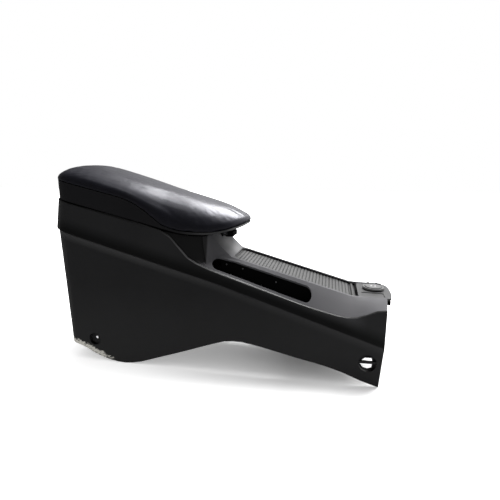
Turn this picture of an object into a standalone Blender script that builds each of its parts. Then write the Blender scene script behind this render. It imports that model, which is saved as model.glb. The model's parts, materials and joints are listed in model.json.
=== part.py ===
"""Car center console: moulded shell and deck, ribbed sliding cover over two cups, hinged armrest over a bin.

Metres, +Z up, +X to the front of the car, -Y the side with the brake lever slot.
The shells are lofts between measured lines, thickened by Solidify and cut by Booleans.
"""
import math

import bmesh
import bpy
from mathutils import Matrix, Vector

# Fits
SEAT_GAP = 0.0003
RUN_GAP = 0.0006
PIN_GAP = 0.0003
LID_GAP = 0.0038

# Shell: overall outline
REAR_X = -0.352
FRONT_X = 0.335
HALF_WIDTH = 0.102
REAR_CORNER_RADIUS = 0.040
SHELL_WALL = 0.003
CUT_REACH = 0.050
CUT_LOW_Z = 0.100
CUT_HIGH_Z = 0.320

# Widths, from the shell's side inward
CORNER_INSET = 0.0160
SLOT_MARGIN = 0.0135
SLOT_WIDTH = 0.0245
RIDGE_WIDTH = 0.0130
RIDGE_ROLL = 0.0065
TURN_START_REACH = 0.0028
TURN_END_REACH = 0.0060
COVER_TUCK = 0.0030
WELL_REACH = 0.0100
BIN_INSET = 0.0265
ARM_INSET = 0.0075
BUMPER_REACH = 0.0080
CORNER_Y = HALF_WIDTH - CORNER_INSET
SLOT_OUTER_Y = HALF_WIDTH - SLOT_MARGIN
SLOT_INNER_Y = SLOT_OUTER_Y - SLOT_WIDTH
OPENING_HALF_WIDTH = SLOT_INNER_Y - RIDGE_WIDTH
SHOULDER_START_Y = OPENING_HALF_WIDTH + RIDGE_ROLL
COVER_HALF_WIDTH = OPENING_HALF_WIDTH + COVER_TUCK
TURN_START_Y = OPENING_HALF_WIDTH + TURN_START_REACH
TURN_END_Y = SLOT_INNER_Y + TURN_END_REACH
WELL_HALF_WIDTH = OPENING_HALF_WIDTH + WELL_REACH
BIN_HALF_WIDTH = HALF_WIDTH - BIN_INSET
ARM_HALF_WIDTH = HALF_WIDTH - ARM_INSET
BUMPER_Y = BIN_HALF_WIDTH + BUMPER_REACH
FRONT_RAKE = 0.009
FRONT_RAKE_HEIGHT = 0.155
FRONT_RAKE_START_X = 0.150
FRONT_RAKE_POWER = 2.2

# Shell lines in side view: x, z
BODY_TOP = ((-0.352, 0.3550), (-0.119, 0.2968), (-0.104, 0.2915), (-0.090, 0.2830), (-0.070, 0.2600),
            (-0.054, 0.2420), (-0.036, 0.2310), (-0.006, 0.2185), (0.050, 0.1995), (0.121, 0.1755),
            (0.180, 0.1560), (0.215, 0.1465), (0.248, 0.1385), (0.266, 0.1365), (0.284, 0.1385),
            (0.300, 0.1445), (0.315, 0.1520), (0.335, 0.1550))
BODY_CREASE = ((-0.352, 0.2940), (-0.200, 0.2510), (-0.097, 0.2210), (0.002, 0.1930), (0.099, 0.1585),
               (0.192, 0.1285), (0.284, 0.0975), (0.335, 0.0800))
BODY_BOTTOM = ((-0.352, 0.0360), (-0.312, 0.0330), (-0.266, 0.0130), (-0.232, 0.0030), (-0.205, 0.0000),
               (-0.178, 0.0030), (-0.126, 0.0190), (-0.066, 0.0390), (0.000, 0.0620), (0.024, 0.0690),
               (0.048, 0.0705), (0.072, 0.0675), (0.169, 0.0460), (0.222, 0.0350), (0.261, 0.0240),
               (0.299, 0.0100), (0.335, 0.0000))

# How far each line of the shell stands inside its widest line: x, inset
LOWER_TUCK = ((-0.352, 0.0140), (-0.300, 0.0095), (-0.150, 0.0060), (0.100, 0.0040), (0.335, 0.0025))
CREASE_STEP = ((-0.352, 0.0042), (-0.100, 0.0030), (0.200, 0.0018), (0.335, 0.0012))
TOP_TUCK = ((-0.352, 0.0085), (-0.300, 0.0065), (0.335, 0.0060))
CREASE_ROLL = 0.0035
TOP_ROLL = 0.0018

# Shell: fixing holes
FRONT_HOLE_X = 0.304
FRONT_HOLE_Z = 0.0475
FRONT_HOLE_RADIUS = 0.0170
FRONT_HOLE_TUBE_WALL = 0.0020
FRONT_HOLE_TUBE_DEPTH = 0.0115
FRONT_HOLE_PLATE = 0.0015
FRONT_HOLE_GATE = ((0.0030, 0.0114), (-0.0018, 0.0101), (-0.0086, 0.0040), (-0.0140, -0.0050),
                   (-0.0080, -0.0128), (0.0010, -0.0152), (0.0085, -0.0118), (0.0094, 0.0012),
                   (0.0071, 0.0088))
WEB_REACH = 0.0030
WEB_DEPTH = 0.0070
WEB_THIN = 0.0020
WEB_THICK = 0.0045
WEB_THIN_RISE = 0.0120
WEB_THICK_RISE = 0.0010
REAR_RECESS_X = -0.271
REAR_RECESS_Z = 0.049
REAR_RECESS_RADIUS = 0.0135
REAR_RECESS_DEPTH = 0.0110
REAR_SCREW_HOLE_RADIUS = 0.0030

# Deck
DECK_WALL = 0.0025
DECK_EDGE_DROP = 0.0015
COVER_SLOPE = math.radians(16.0)
RIM_START_X = 0.030
RIM_START_Z = 0.236
RIM_END_X = 0.273
RIM_FLAT_DROP = 0.0015
REAR_RIDGE_SLOPE = 0.15
SHOULDER_POWER = 1.12
DECK_COLUMNS = (0.156, 0.378, 0.667)
SWEEP_FOOT_X = 0.034
SWEEP_TURN_X = -0.0085
SWEEP_CORNER_X = -0.0165
SWEEP_RUN = 0.046
SWEEP_RUN_AT_CORNER = 0.007
SWEEP_HEIGHT = 0.060
CHEEK_FOOT_X = -0.018
CHEEK_TOP_X = -0.108
DECK_NOSE = 0.004
RIDGE_LIP = 0.004
GROOVE_SET_BACK = 0.0010
GROOVE_WIDTH = 0.0014
GROOVE_DEPTH = 0.0013

# Deck openings
OPENING_REAR_X = 0.031
OPENING_CORNER_RADIUS = 0.014
SLOT_REAR_X = -0.0075
SLOT_FRONT_X = 0.193
LATCH_NOTCH_HALF_WIDTH = 0.0110
LATCH_NOTCH_FLOOR_Z = 0.2695
LATCH_NOTCH_REAR_X = -0.080
LATCH_NOTCH_LENGTH = 0.130

# Sliding cover
RIB_COUNT = 35
RIB_PITCH = 0.0072
RIB_HEIGHT = 0.0013
COVER_SHEET = 0.0012
COVER_DROP = 0.0048
HANDLE_LENGTH = 0.0125
HANDLE_BAR_LENGTH = 0.0052
HANDLE_BAR_HEIGHT = 0.0036
HANDLE_BAR_INSET = 0.0060
HANDLE_BAR_HALF_WIDTH = OPENING_HALF_WIDTH - HANDLE_BAR_INSET
HANDLE_FRONT_X = 0.2815
COVER_TRAVEL = 0.190

# Cover guides
GUIDE_WEB = 0.0018
GUIDE_SHELF = 0.0022
GUIDE_SHELF_REACH = 0.0050
GUIDE_TURN_RADIUS = 0.020
GUIDE_TAIL = 0.095
GUIDE_FRONT_X = 0.2835
GUIDE_TURN_X = 0.0225

# Cup holder well
WELL_REAR_X = 0.042
WELL_FRONT_X = 0.268
WELL_PLATE = 0.0025
WELL_SKIRT_DEPTH = 0.038
WELL_SKIRT_REACH = 0.030
CUP_RADIUS = 0.0375
CUP_WALL = 0.0022
CUP_DEPTH = 0.066
CUP_REAR_X = 0.100
CUP_SPACING = 0.108
CUP_MAT_THICKNESS = 0.002
WELL_SCREW_RADIUS = 0.0020
WELL_SCREW_HEAD = 0.0012
WELL_SCREW_X = (0.0183, 0.0273, 0.0525, 0.0908, 0.1208)
WELL_SCREW_DROP = (0.0072, 0.0258, 0.0052, 0.0271, 0.0102)

# Front panel, outlet and blank
PANEL_REAR_X = 0.2845
PANEL_ARM_X = 0.343
PANEL_TIP_X = 0.352
PANEL_TOP_Z = 0.1650
PANEL_THICKNESS = 0.003
PANEL_FALL = math.radians(1.8)
OUTLET_X = 0.3180
OUTLET_Y = 0.0120
OUTLET_BARREL_RADIUS = 0.0130
OUTLET_BARREL_WALL = 0.0016
OUTLET_BARREL_DEPTH = 0.040
OUTLET_COLLAR_RADIUS = 0.0210
OUTLET_COLLAR_HEIGHT = 0.0022
CAP_RADIUS = 0.0228
CAP_THICKNESS = 0.0030
CAP_CROWN_RADIUS = 0.0185
CAP_CROWN_HEIGHT = 0.0012
CAP_DOT_RADIUS = 0.0015
CAP_DOT_HEIGHT = 0.0008
CAP_DOT_SPACING = 0.0080
CAP_PIN_RADIUS = 0.0011
CAP_KNUCKLE_RADIUS = 0.0024
CAP_KNUCKLE_HALF_LENGTH = 0.0060
CAP_LUG_LENGTH = 0.0040
BLANK_X = 0.3140
BLANK_INSET = 0.0210
BLANK_Y = BLANK_INSET - OPENING_HALF_WIDTH
BLANK_LENGTH = 0.044
BLANK_WIDTH = 0.028
BLANK_RECESS = 0.0012
BLANK_THICKNESS = 0.0020
CLIP_LENGTH = 0.008
CLIP_WIDTH = 0.007
CLIP_HEIGHT = 0.009
CLIP_X = 0.3412
CLIP_Y = OPENING_HALF_WIDTH + CLIP_WIDTH / 2 + SEAT_GAP * 2

# Armrest
ARM_REAR_X = -0.344
ARM_TIP_X = 0.056
ARM_CORNER_RADIUS = 0.038
ARM_NOSE_START_X = -0.070
ARM_RIM = ((-0.352, 0.3580), (-0.119, 0.2998), (-0.088, 0.2920), (-0.059, 0.2865), (-0.014, 0.2850),
           (0.009, 0.2872), (0.027, 0.2912), (0.042, 0.2950), (0.056, 0.3010))
ARM_SEAM = ((-0.352, 0.3955), (-0.326, 0.3890), (-0.277, 0.3770), (-0.224, 0.3640), (-0.191, 0.3560),
            (-0.160, 0.3430), (-0.143, 0.3320), (-0.125, 0.3180), (-0.105, 0.3025), (-0.088, 0.2965),
            (-0.059, 0.2910), (-0.014, 0.2893), (0.009, 0.2912), (0.027, 0.2950), (0.042, 0.2990),
            (0.056, 0.3045))
PAD_CROWN = ((-0.352, 0.3960), (-0.344, 0.4020), (-0.334, 0.4110), (-0.318, 0.4185), (-0.300, 0.4210),
             (-0.276, 0.4180), (-0.249, 0.4110), (-0.184, 0.3918), (-0.120, 0.3725), (-0.057, 0.3545),
             (0.005, 0.3360), (0.030, 0.3275), (0.044, 0.3215), (0.052, 0.3160), (0.058, 0.3100))
PAD_POWER = 2.7
PAD_BULGE = 0.0010
ARM_WALL = 0.003
ARM_POCKET_FRONT_X = -0.135
INNER_PANEL = 0.0025
INNER_PANEL_RECESS = 0.0008

# Lid hinge
HINGE_X = -0.346
HINGE_Z = 0.3535
HINGE_PIN_RADIUS = 0.0020
HINGE_KNUCKLE_RADIUS = 0.0042
HINGE_LEAF = 0.0020
BODY_KNUCKLE_INNER = 0.014
BODY_KNUCKLE_OUTER = 0.028
HINGE_NOTCH_HALF_WIDTH = 0.0295
BRACKET_DEPTH = 0.038
ARM_LEAF_HEIGHT = 0.024
HINGE_SCREW_RADIUS = 0.0024
HINGE_SCREW_HEAD = 0.0014

# Latch
LATCH_X = 0.0060
LATCH_Z = 0.2790
LATCH_HALF_WIDTH = 0.020
LATCH_PIN_RADIUS = 0.0015
LATCH_BARREL_RADIUS = 0.0032
PADDLE_FRONT_X = 0.0235
PADDLE_TOP_Z = 0.2825
PADDLE_THICKNESS = 0.0110
HOOK_X = -0.0280
HOOK_HALF_WIDTH = 0.0080
HOOK_THICKNESS = 0.0030
HOOK_DROP = 0.0130
HOOK_BARB = 0.0035
LUG_THICKNESS = 0.0030
SPRING_RADIUS = 0.0022
SPRING_WIRE = 0.0004
SPRING_TURNS = 3

# Storage bin
BIN_REAR_X = -0.322
BIN_FRONT_X = -0.037
BIN_CORNER_RADIUS = 0.022
BIN_FLOOR_Z = 0.150
BIN_WALL = 0.0025
BIN_TOP_DROP = 0.0030
BIN_FLANGE = 0.0025
BIN_FLANGE_END_X = -0.140
BIN_MAT_THICKNESS = 0.002
BUMPER_RADIUS = 0.005
BUMPER_X = (-0.290, -0.165)

COLORS = {
    "shell_grey": (0.032, 0.032, 0.035),
    "deck_grey": (0.075, 0.072, 0.082),
    "panel_grey": (0.120, 0.120, 0.125),
    "cover_grey": (0.200, 0.200, 0.210),
    "well_black": (0.008, 0.008, 0.009),
    "pad_black": (0.012, 0.012, 0.016),
    "rubber_black": (0.010, 0.010, 0.010),
    "pin_steel": (0.450, 0.450, 0.460),
}


def start_scene():
    """Empties the file and makes the two collections."""
    for item in list(bpy.data.objects):
        bpy.data.objects.remove(item, do_unlink=True)
    parts = bpy.data.collections.new("center_console")
    cutters = bpy.data.collections.new("cutters")
    for group in (parts, cutters):
        bpy.context.scene.collection.children.link(group)
    return parts, cutters


PARTS, CUTTERS = start_scene()


def make_material(name, finish, roughness=0.6, metallic=0.0):
    material = bpy.data.materials.new(name)
    material.use_nodes = True
    shader = material.node_tree.nodes["Principled BSDF"]
    shader.inputs["Base Color"].default_value = (*COLORS[finish], 1.0)
    shader.inputs["Roughness"].default_value = roughness
    shader.inputs["Metallic"].default_value = metallic
    return material


def add_part(item, finish, roughness=0.6, metallic=0.0, smooth_angle=30):
    """Puts a finished piece in the parts collection with a material of its own."""
    PARTS.objects.link(item)
    item.data.materials.clear()
    item.data.materials.append(make_material(item.name, finish, roughness, metallic))
    if smooth_angle:
        item.data.shade_smooth()
        item.data.set_sharp_from_angle(angle=math.radians(smooth_angle))
    return item


def curve_value(table, x):
    """Value of a measured line at x: a smooth monotone curve through its points."""
    if x <= table[0][0]:
        return table[0][1]
    if x >= table[-1][0]:
        return table[-1][1]
    slopes = []
    for (xa, za), (xb, zb) in zip(table, table[1:]):
        slopes.append((zb - za) / (xb - xa))
    tangents = [slopes[0]]
    for left, right in zip(slopes, slopes[1:]):
        if left * right <= 0:
            tangents.append(0.0)
        else:
            tangents.append(2 * left * right / (left + right))
    tangents.append(slopes[-1])
    for index, ((xa, za), (xb, zb)) in enumerate(zip(table, table[1:])):
        if xa <= x <= xb:
            span = xb - xa
            t = (x - xa) / span
            rise_a = tangents[index] * span
            rise_b = tangents[index + 1] * span
            return (za * (1 + 2 * t) * (1 - t) ** 2 + rise_a * t * (1 - t) ** 2
                    + zb * t * t * (3 - 2 * t) - rise_b * t * t * (1 - t))
    return table[-1][1]


def blend(a, b, t):
    return a + (b - a) * t


def spaced(start, end, count):
    return [blend(start, end, index / (count - 1)) for index in range(count)]


def object_from(bm, name):
    """New object from a bmesh, with its faces turned outward."""
    bmesh.ops.remove_doubles(bm, verts=bm.verts, dist=1e-7)
    bmesh.ops.recalc_face_normals(bm, faces=bm.faces)
    mesh = bpy.data.meshes.new(name)
    bm.to_mesh(mesh)
    bm.free()
    return bpy.data.objects.new(name, mesh)


def loft_closed(name, rings, finish=None, **look):
    """Closed solid through rings of equal length, with a face at each end."""
    bm = bmesh.new()
    loops = [[bm.verts.new(point) for point in ring] for ring in rings]
    count = len(loops[0])
    for lower, upper in zip(loops, loops[1:]):
        for index in range(count):
            following = (index + 1) % count
            bm.faces.new((lower[index], lower[following], upper[following], upper[index]))
    bm.faces.new(list(reversed(loops[0])))
    bm.faces.new(loops[-1])
    item = object_from(bm, name)
    return add_part(item, finish, **look) if finish else item


def sheet(name, rows):
    """Open sheet through rows of points, to be mirrored and thickened."""
    bm = bmesh.new()
    lines = [[bm.verts.new(point) for point in row] for row in rows]
    for lower, upper in zip(lines, lines[1:]):
        for index in range(len(lower) - 1):
            bm.faces.new((lower[index], lower[index + 1], upper[index + 1], upper[index]))
    mesh = bpy.data.meshes.new(name)
    bm.to_mesh(mesh)
    bm.free()
    return bpy.data.objects.new(name, mesh)


def box(name, low, high, bevel=0.0, segments=2):
    bm = bmesh.new()
    bmesh.ops.create_cube(bm, size=1.0)
    size = [b - a for a, b in zip(low, high)]
    middle = [(a + b) / 2 for a, b in zip(low, high)]
    bmesh.ops.scale(bm, vec=size, verts=bm.verts)
    bmesh.ops.translate(bm, vec=middle, verts=bm.verts)
    if bevel:
        bmesh.ops.bevel(bm, geom=bm.edges[:], offset=bevel, segments=segments, profile=0.5,
                        affect="EDGES")
    return object_from(bm, name)


def cylinder(name, radius, low, high, sides=32, top_radius=None):
    """Round bar between two points."""
    start = Vector(low)
    end = Vector(high)
    bm = bmesh.new()
    bmesh.ops.create_cone(bm, cap_ends=True, segments=sides, radius1=radius,
                          radius2=radius if top_radius is None else top_radius,
                          depth=(end - start).length)
    turn = (end - start).to_track_quat("Z", "Y").to_matrix().to_4x4()
    bmesh.ops.transform(bm, matrix=Matrix.Translation((start + end) / 2) @ turn, verts=bm.verts)
    return object_from(bm, name)


def prism(name, outline, low, high):
    """Upright prism over a plan outline."""
    return loft_closed(name, [[(x, y, low) for x, y in outline], [(x, y, high) for x, y in outline]])


def keep_shape(item):
    """Applies the modifiers of a piece."""
    helper = bpy.context.scene.collection
    linked = item.name not in PARTS.objects and item.name not in CUTTERS.objects
    if linked:
        helper.objects.link(item)
    bpy.context.view_layer.update()
    graph = bpy.context.evaluated_depsgraph_get()
    mesh = bpy.data.meshes.new_from_object(item.evaluated_get(graph))
    item.modifiers.clear()
    item.data = mesh
    if linked:
        helper.objects.unlink(item)
    return item


def boolean(item, other, operation):
    """One exact Boolean, with its cutter kept in the cutters collection."""
    if other.name not in CUTTERS.objects:
        CUTTERS.objects.link(other)
        other.hide_render = True
        other.display_type = "WIRE"
    modifier = item.modifiers.new(other.name, "BOOLEAN")
    modifier.operation = operation
    modifier.solver = "EXACT"
    modifier.object = other
    return item


def cut(item, *cutters):
    for cutter in cutters:
        boolean(item, cutter, "DIFFERENCE")
    return keep_shape(item)


def fuse(item, *others):
    for other in others:
        boolean(item, other, "UNION")
    return keep_shape(item)


def hang_on(axis_name, point, names):
    """Hangs moving pieces on an empty that stands on their joint's axis."""
    anchor = bpy.data.objects.new(axis_name, None)
    anchor.location = point
    PARTS.objects.link(anchor)
    for name in names:
        item = PARTS.objects[name]
        item.data.transform(Matrix.Translation(-Vector(point)))
        item.parent = anchor


def add_copies(name, items, finish, **look):
    """Names the copies of a repeated piece and adds each one."""
    for index, item in enumerate(items, start=1):
        item.name = f"{name}_{index}"
        item.data.name = item.name
        add_part(item, finish, **look)


def thicken(item, wall, mirrored=True):
    """Mirror across the middle plane, then a wall grown inward."""
    if mirrored:
        mirror = item.modifiers.new("mirror", "MIRROR")
        mirror.use_axis = (False, True, False)
        mirror.use_clip = True
        mirror.merge_threshold = 0.0001
    solid = item.modifiers.new("wall", "SOLIDIFY")
    solid.thickness = wall
    solid.offset = -1.0
    solid.use_even_offset = True
    return keep_shape(item)


def rounded_outline(x_low, x_high, half_width, radius, steps=5):
    """Plan outline of a rectangle with four round corners, counter-clockwise."""
    points = []
    centers = ((x_high - radius, half_width - radius, 0), (x_low + radius, half_width - radius, 90),
               (x_low + radius, radius - half_width, 180), (x_high - radius, radius - half_width, 270))
    for x, y, start in centers:
        for step in range(steps + 1):
            angle = math.radians(start + 90 * step / steps)
            points.append((x + radius * math.cos(angle), y + radius * math.sin(angle)))
    return points


# Shell
def shell_path():
    """Widest line of the near half, from the middle of the rear to the front: x, y, outward x, outward y."""
    radius = REAR_CORNER_RADIUS
    points = [(REAR_X, y, -1.0, 0.0) for y in spaced(0.0, -(HALF_WIDTH - radius), 4)[:-1]]
    for step in range(8):
        angle = math.radians(90 * step / 7)
        out_x = -math.cos(angle)
        out_y = -math.sin(angle)
        points.append((REAR_X + radius + radius * out_x, -(HALF_WIDTH - radius) + radius * out_y,
                       out_x, out_y))
    stations = spaced(REAR_X + radius, FRONT_X, 36)
    for x in stations[1:]:
        points.append((x, -HALF_WIDTH, 0.0, -1.0))
    return points


def shell_point(station, level, extra=0.0):
    """Point of the shell's outer face at a level: 0 is the bottom, 1 the crease and 2 the top."""
    x, y, out_x, out_y = station
    bottom = curve_value(BODY_BOTTOM, x)
    crease = curve_value(BODY_CREASE, x)
    top = curve_value(BODY_TOP, x)
    step = curve_value(CREASE_STEP, x)
    if level <= 1.0:
        under = crease - CREASE_ROLL
        z = blend(bottom, under, level)
        inset = blend(curve_value(LOWER_TUCK, x), step, level)
    else:
        z = blend(crease, top, level - 1.0)
        inset = blend(0.0, curve_value(TOP_TUCK, x), level - 1.0)
    rake = FRONT_RAKE * max(0.0, 1 - z / FRONT_RAKE_HEIGHT) ** FRONT_RAKE_POWER
    ramp = max(0.0, (x - FRONT_RAKE_START_X) / (FRONT_X - FRONT_RAKE_START_X))
    inset += extra
    return (x - out_x * inset - rake * ramp, y - out_y * inset, z)


def roll_edge(item, points, radius):
    """Rounds the edge of a shell that runs through the given points and their mirror images."""
    line = {(round(x, 5), round(abs(y), 5), round(z, 5)) for x, y, z in points}
    bm = bmesh.new()
    bm.from_mesh(item.data)
    on_line = {vert for vert in bm.verts
               if (round(vert.co.x, 5), round(abs(vert.co.y), 5), round(vert.co.z, 5)) in line}
    edges = [edge for edge in bm.edges if edge.verts[0] in on_line and edge.verts[1] in on_line]
    bmesh.ops.bevel(bm, geom=edges, offset=radius, segments=1, profile=0.5, affect="EDGES")
    bm.to_mesh(item.data)
    bm.free()
    print("rolled edges", len(edges))


def build_shell():
    path = shell_path()
    levels = (0.0, 1.0, 1.001, 2.0)
    rows = [[shell_point(station, level) for station in path] for level in levels]
    body = sheet("console_body", rows)
    thicken(body, SHELL_WALL)
    roll_edge(body, rows[-1], TOP_ROLL)

    side = HALF_WIDTH + SHELL_WALL
    wall_y = abs(shell_point((FRONT_HOLE_X, -HALF_WIDTH, 0.0, -1.0), 0.5)[1])
    recess_y = abs(shell_point((REAR_RECESS_X, -HALF_WIDTH, 0.0, -1.0), 0.2)[1])
    recess_floor_y = recess_y - REAR_RECESS_DEPTH
    cups = []
    cutters = [
        cylinder("front_hole_cutter", FRONT_HOLE_RADIUS, (FRONT_HOLE_X, -side, FRONT_HOLE_Z),
                 (FRONT_HOLE_X, side, FRONT_HOLE_Z), sides=32),
        box("hinge_notch_cutter", (REAR_X - SHELL_WALL, -HINGE_NOTCH_HALF_WIDTH, HINGE_Z - 0.0055),
            (REAR_X + 0.020, HINGE_NOTCH_HALF_WIDTH, HINGE_Z + 0.020)),
    ]
    for sign, name in ((-1, "near"), (1, "far")):
        cups.append(cylinder(f"hole_tube_{name}", FRONT_HOLE_RADIUS + FRONT_HOLE_TUBE_WALL,
                             (FRONT_HOLE_X, sign * (wall_y - SHELL_WALL / 2), FRONT_HOLE_Z),
                             (FRONT_HOLE_X, sign * (wall_y - FRONT_HOLE_TUBE_DEPTH), FRONT_HOLE_Z)))
        cups.append(cylinder(f"recess_cup_{name}", REAR_RECESS_RADIUS + 0.0020,
                             (REAR_RECESS_X, sign * (recess_y - SHELL_WALL / 2), REAR_RECESS_Z),
                             (REAR_RECESS_X, sign * recess_floor_y, REAR_RECESS_Z)))
        cutters.append(cylinder(f"recess_bore_{name}", REAR_RECESS_RADIUS,
                                (REAR_RECESS_X, sign * side, REAR_RECESS_Z),
                                (REAR_RECESS_X, sign * (recess_floor_y + 0.002), REAR_RECESS_Z)))
        cutters.append(cylinder(f"recess_screw_{name}", REAR_SCREW_HOLE_RADIUS,
                                (REAR_RECESS_X, sign * recess_y, REAR_RECESS_Z),
                                (REAR_RECESS_X, sign * (recess_floor_y - 0.010), REAR_RECESS_Z), sides=16))
    fuse(body, *cups)
    cut(body, *cutters)

    reach = FRONT_HOLE_RADIUS + WEB_REACH
    webs = []
    for sign, name in ((-1, "near"), (1, "far")):
        low_y, high_y = sorted((sign * (wall_y - SHELL_WALL * 0.7), sign * (wall_y - WEB_DEPTH)))
        for rise, thickness, kind in ((WEB_THIN_RISE, WEB_THIN, "thin"), (WEB_THICK_RISE, WEB_THICK, "thick")):
            z = FRONT_HOLE_Z + rise
            webs.append(box(f"web_{kind}_{name}", (FRONT_HOLE_X - reach, low_y, z - thickness / 2),
                            (FRONT_HOLE_X + reach, high_y, z + thickness / 2)))
        back_y = sign * (wall_y - FRONT_HOLE_TUBE_DEPTH + SEAT_GAP)
        plate_y = back_y + sign * FRONT_HOLE_PLATE
        plate = cylinder(f"hole_plate_{name}", FRONT_HOLE_RADIUS + FRONT_HOLE_TUBE_WALL / 2,
                         (FRONT_HOLE_X, back_y, FRONT_HOLE_Z), (FRONT_HOLE_X, plate_y, FRONT_HOLE_Z))
        gate = loft_closed(f"hole_gate_{name}",
                           [[(FRONT_HOLE_X + x, y, FRONT_HOLE_Z + z) for x, z in FRONT_HOLE_GATE]
                            for y in (back_y - sign * FRONT_HOLE_PLATE, plate_y + sign * FRONT_HOLE_PLATE)])
        webs.append(cut(plate, gate))
    fuse(body, *webs)
    return add_part(body, "shell_grey", roughness=0.65)


# Deck
def ridge_height(x):
    """Height of the deck's flat ridge beside the cover."""
    flat = RIM_START_Z - (RIM_END_X - RIM_START_X) * math.tan(COVER_SLOPE)
    if x < RIM_START_X:
        return RIM_START_Z + (RIM_START_X - x) * REAR_RIDGE_SLOPE
    if x > RIM_END_X:
        share = min(1.0, (x - RIM_END_X) / (FRONT_X - RIM_END_X))
        return flat - RIM_FLAT_DROP * share
    return RIM_START_Z - (x - RIM_START_X) * math.tan(COVER_SLOPE)


def deck_edge_y(x):
    """Where the deck's edge tucks inside the shell."""
    return HALF_WIDTH - curve_value(TOP_TUCK, x) - SHELL_WALL - RUN_GAP


def deck_height(x, y):
    edge = deck_edge_y(x)
    low = curve_value(BODY_TOP, x) - DECK_EDGE_DROP
    share = max(0.0, (abs(y) - SHOULDER_START_Y) / (edge - SHOULDER_START_Y))
    high = ridge_height(x)
    return high - (high - low) * min(1.0, share) ** SHOULDER_POWER


def sweep_foot(y):
    """Where the front wall of the box meets the deck."""
    depth = abs(y)
    if depth >= CORNER_Y:
        edge = deck_edge_y(CHEEK_FOOT_X)
        return blend(SWEEP_CORNER_X, CHEEK_FOOT_X, (depth - CORNER_Y) / (edge - CORNER_Y))
    if depth >= TURN_END_Y:
        return blend(SWEEP_TURN_X, SWEEP_CORNER_X, (depth - TURN_END_Y) / (CORNER_Y - TURN_END_Y))
    share = max(0.0, (depth - TURN_START_Y) / (TURN_END_Y - TURN_START_Y))
    return blend(SWEEP_FOOT_X, SWEEP_TURN_X, share * share * (3 - 2 * share))


def wall_point(y, share):
    """Point of the box's front wall, from its top edge at 0 to its foot at 1."""
    foot_x = sweep_foot(y)
    foot_z = deck_height(foot_x, y)
    lean = (y / CORNER_Y) ** 4
    top_x = blend(SWEEP_FOOT_X - SWEEP_RUN, SWEEP_CORNER_X - SWEEP_RUN_AT_CORNER, lean)
    height = (lid_underside(top_x) - LID_GAP - foot_z) * (1 - share)
    run = (foot_x - top_x) * math.sin(math.pi / 2 * min(1.0, height / SWEEP_HEIGHT))
    return Vector((foot_x - run, -y, foot_z + height))


def lid_underside(x):
    return curve_value(ARM_RIM, x)


def build_deck():
    edge = deck_edge_y(0.0)
    outer = [edge, blend(edge, CORNER_Y, 1 / 3), blend(edge, CORNER_Y, 2 / 3)]
    inner = [CORNER_Y] + [blend(CORNER_Y, SHOULDER_START_Y, share) for share in DECK_COLUMNS]
    inner += [SHOULDER_START_Y, OPENING_HALF_WIDTH - RIDGE_LIP, OPENING_HALF_WIDTH / 2, 0.0]
    wall_rows = 8
    rows = []
    for row in range(wall_rows):
        share = row / wall_rows
        rim_x = blend(CHEEK_TOP_X, CHEEK_FOOT_X, share)
        rim = Vector((rim_x, -deck_edge_y(rim_x), curve_value(BODY_TOP, rim_x) - DECK_EDGE_DROP))
        if row == 0:
            rim.z = min(rim.z, lid_underside(rim_x) - LID_GAP)
        points = [wall_point(y, share) for y in inner]
        corner = points[0]
        line = [rim]
        for step in (1, 2):
            point = rim.lerp(corner, step / 3)
            if row == 0:
                point.z = lid_underside(point.x) - LID_GAP
            line.append(point)
        rows.append(line + points)
    for share in spaced(0.0, 1.0, 19):
        row = []
        for y in outer + inner:
            nose = DECK_NOSE * (1 - min(1.0, max(0.0, (y - OPENING_HALF_WIDTH) / (edge - OPENING_HALF_WIDTH))))
            x = blend(sweep_foot(y), FRONT_X + nose, share)
            depth = deck_edge_y(x) if y == edge else y
            row.append((x, -depth, deck_height(x, depth)))
        rows.append(row)
    deck = sheet("deck_panel", [list(reversed(row)) for row in rows])
    thicken(deck, DECK_WALL)

    opening = rounded_outline(OPENING_REAR_X, FRONT_X + CUT_REACH, OPENING_HALF_WIDTH, OPENING_CORNER_RADIUS)
    slot_middle = (SLOT_INNER_Y + SLOT_OUTER_Y) / 2
    slot_half = (SLOT_OUTER_Y - SLOT_INNER_Y) / 2
    slot = [(x, y - slot_middle) for x, y in
            rounded_outline(SLOT_REAR_X, SLOT_FRONT_X, slot_half, slot_half * 0.98, steps=8)]
    cutters = (
        prism("opening_cutter", opening, CUT_LOW_Z, CUT_HIGH_Z),
        prism("slot_cutter", slot, CUT_LOW_Z, CUT_HIGH_Z),
        box("latch_notch_cutter", (LATCH_NOTCH_REAR_X, -LATCH_NOTCH_HALF_WIDTH, LATCH_NOTCH_FLOOR_Z),
            (LATCH_NOTCH_REAR_X + LATCH_NOTCH_LENGTH, LATCH_NOTCH_HALF_WIDTH, CUT_HIGH_Z)),
    )
    grooves = []
    for side, name in ((-1, "near"), (1, "far")):
        rings = []
        for share in (-0.06, 0.25, 0.5, 0.75, 0.98):
            corner = wall_point(CORNER_Y, share)
            front = corner.x - GROOVE_SET_BACK
            deep = side * (CORNER_Y - GROOVE_DEPTH)
            out = side * (CORNER_Y + GROOVE_WIDTH)
            rings.append([(front - GROOVE_WIDTH, deep, corner.z), (front, deep, corner.z),
                          (front, out, corner.z), (front - GROOVE_WIDTH, out, corner.z)])
        grooves.append(loft_closed(f"corner_groove_{name}", rings))
    cut(deck, *cutters, *grooves)
    return add_part(deck, "deck_grey", roughness=0.5)


# Sliding cover, built on the slope of the deck
def on_slope(x, drop):
    """Point a distance below the ridge, measured square to the slope."""
    return (x - drop * math.sin(COVER_SLOPE), ridge_line(x) - drop * math.cos(COVER_SLOPE))


def ridge_line(x):
    return RIM_START_Z - (x - RIM_START_X) * math.tan(COVER_SLOPE)


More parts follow.
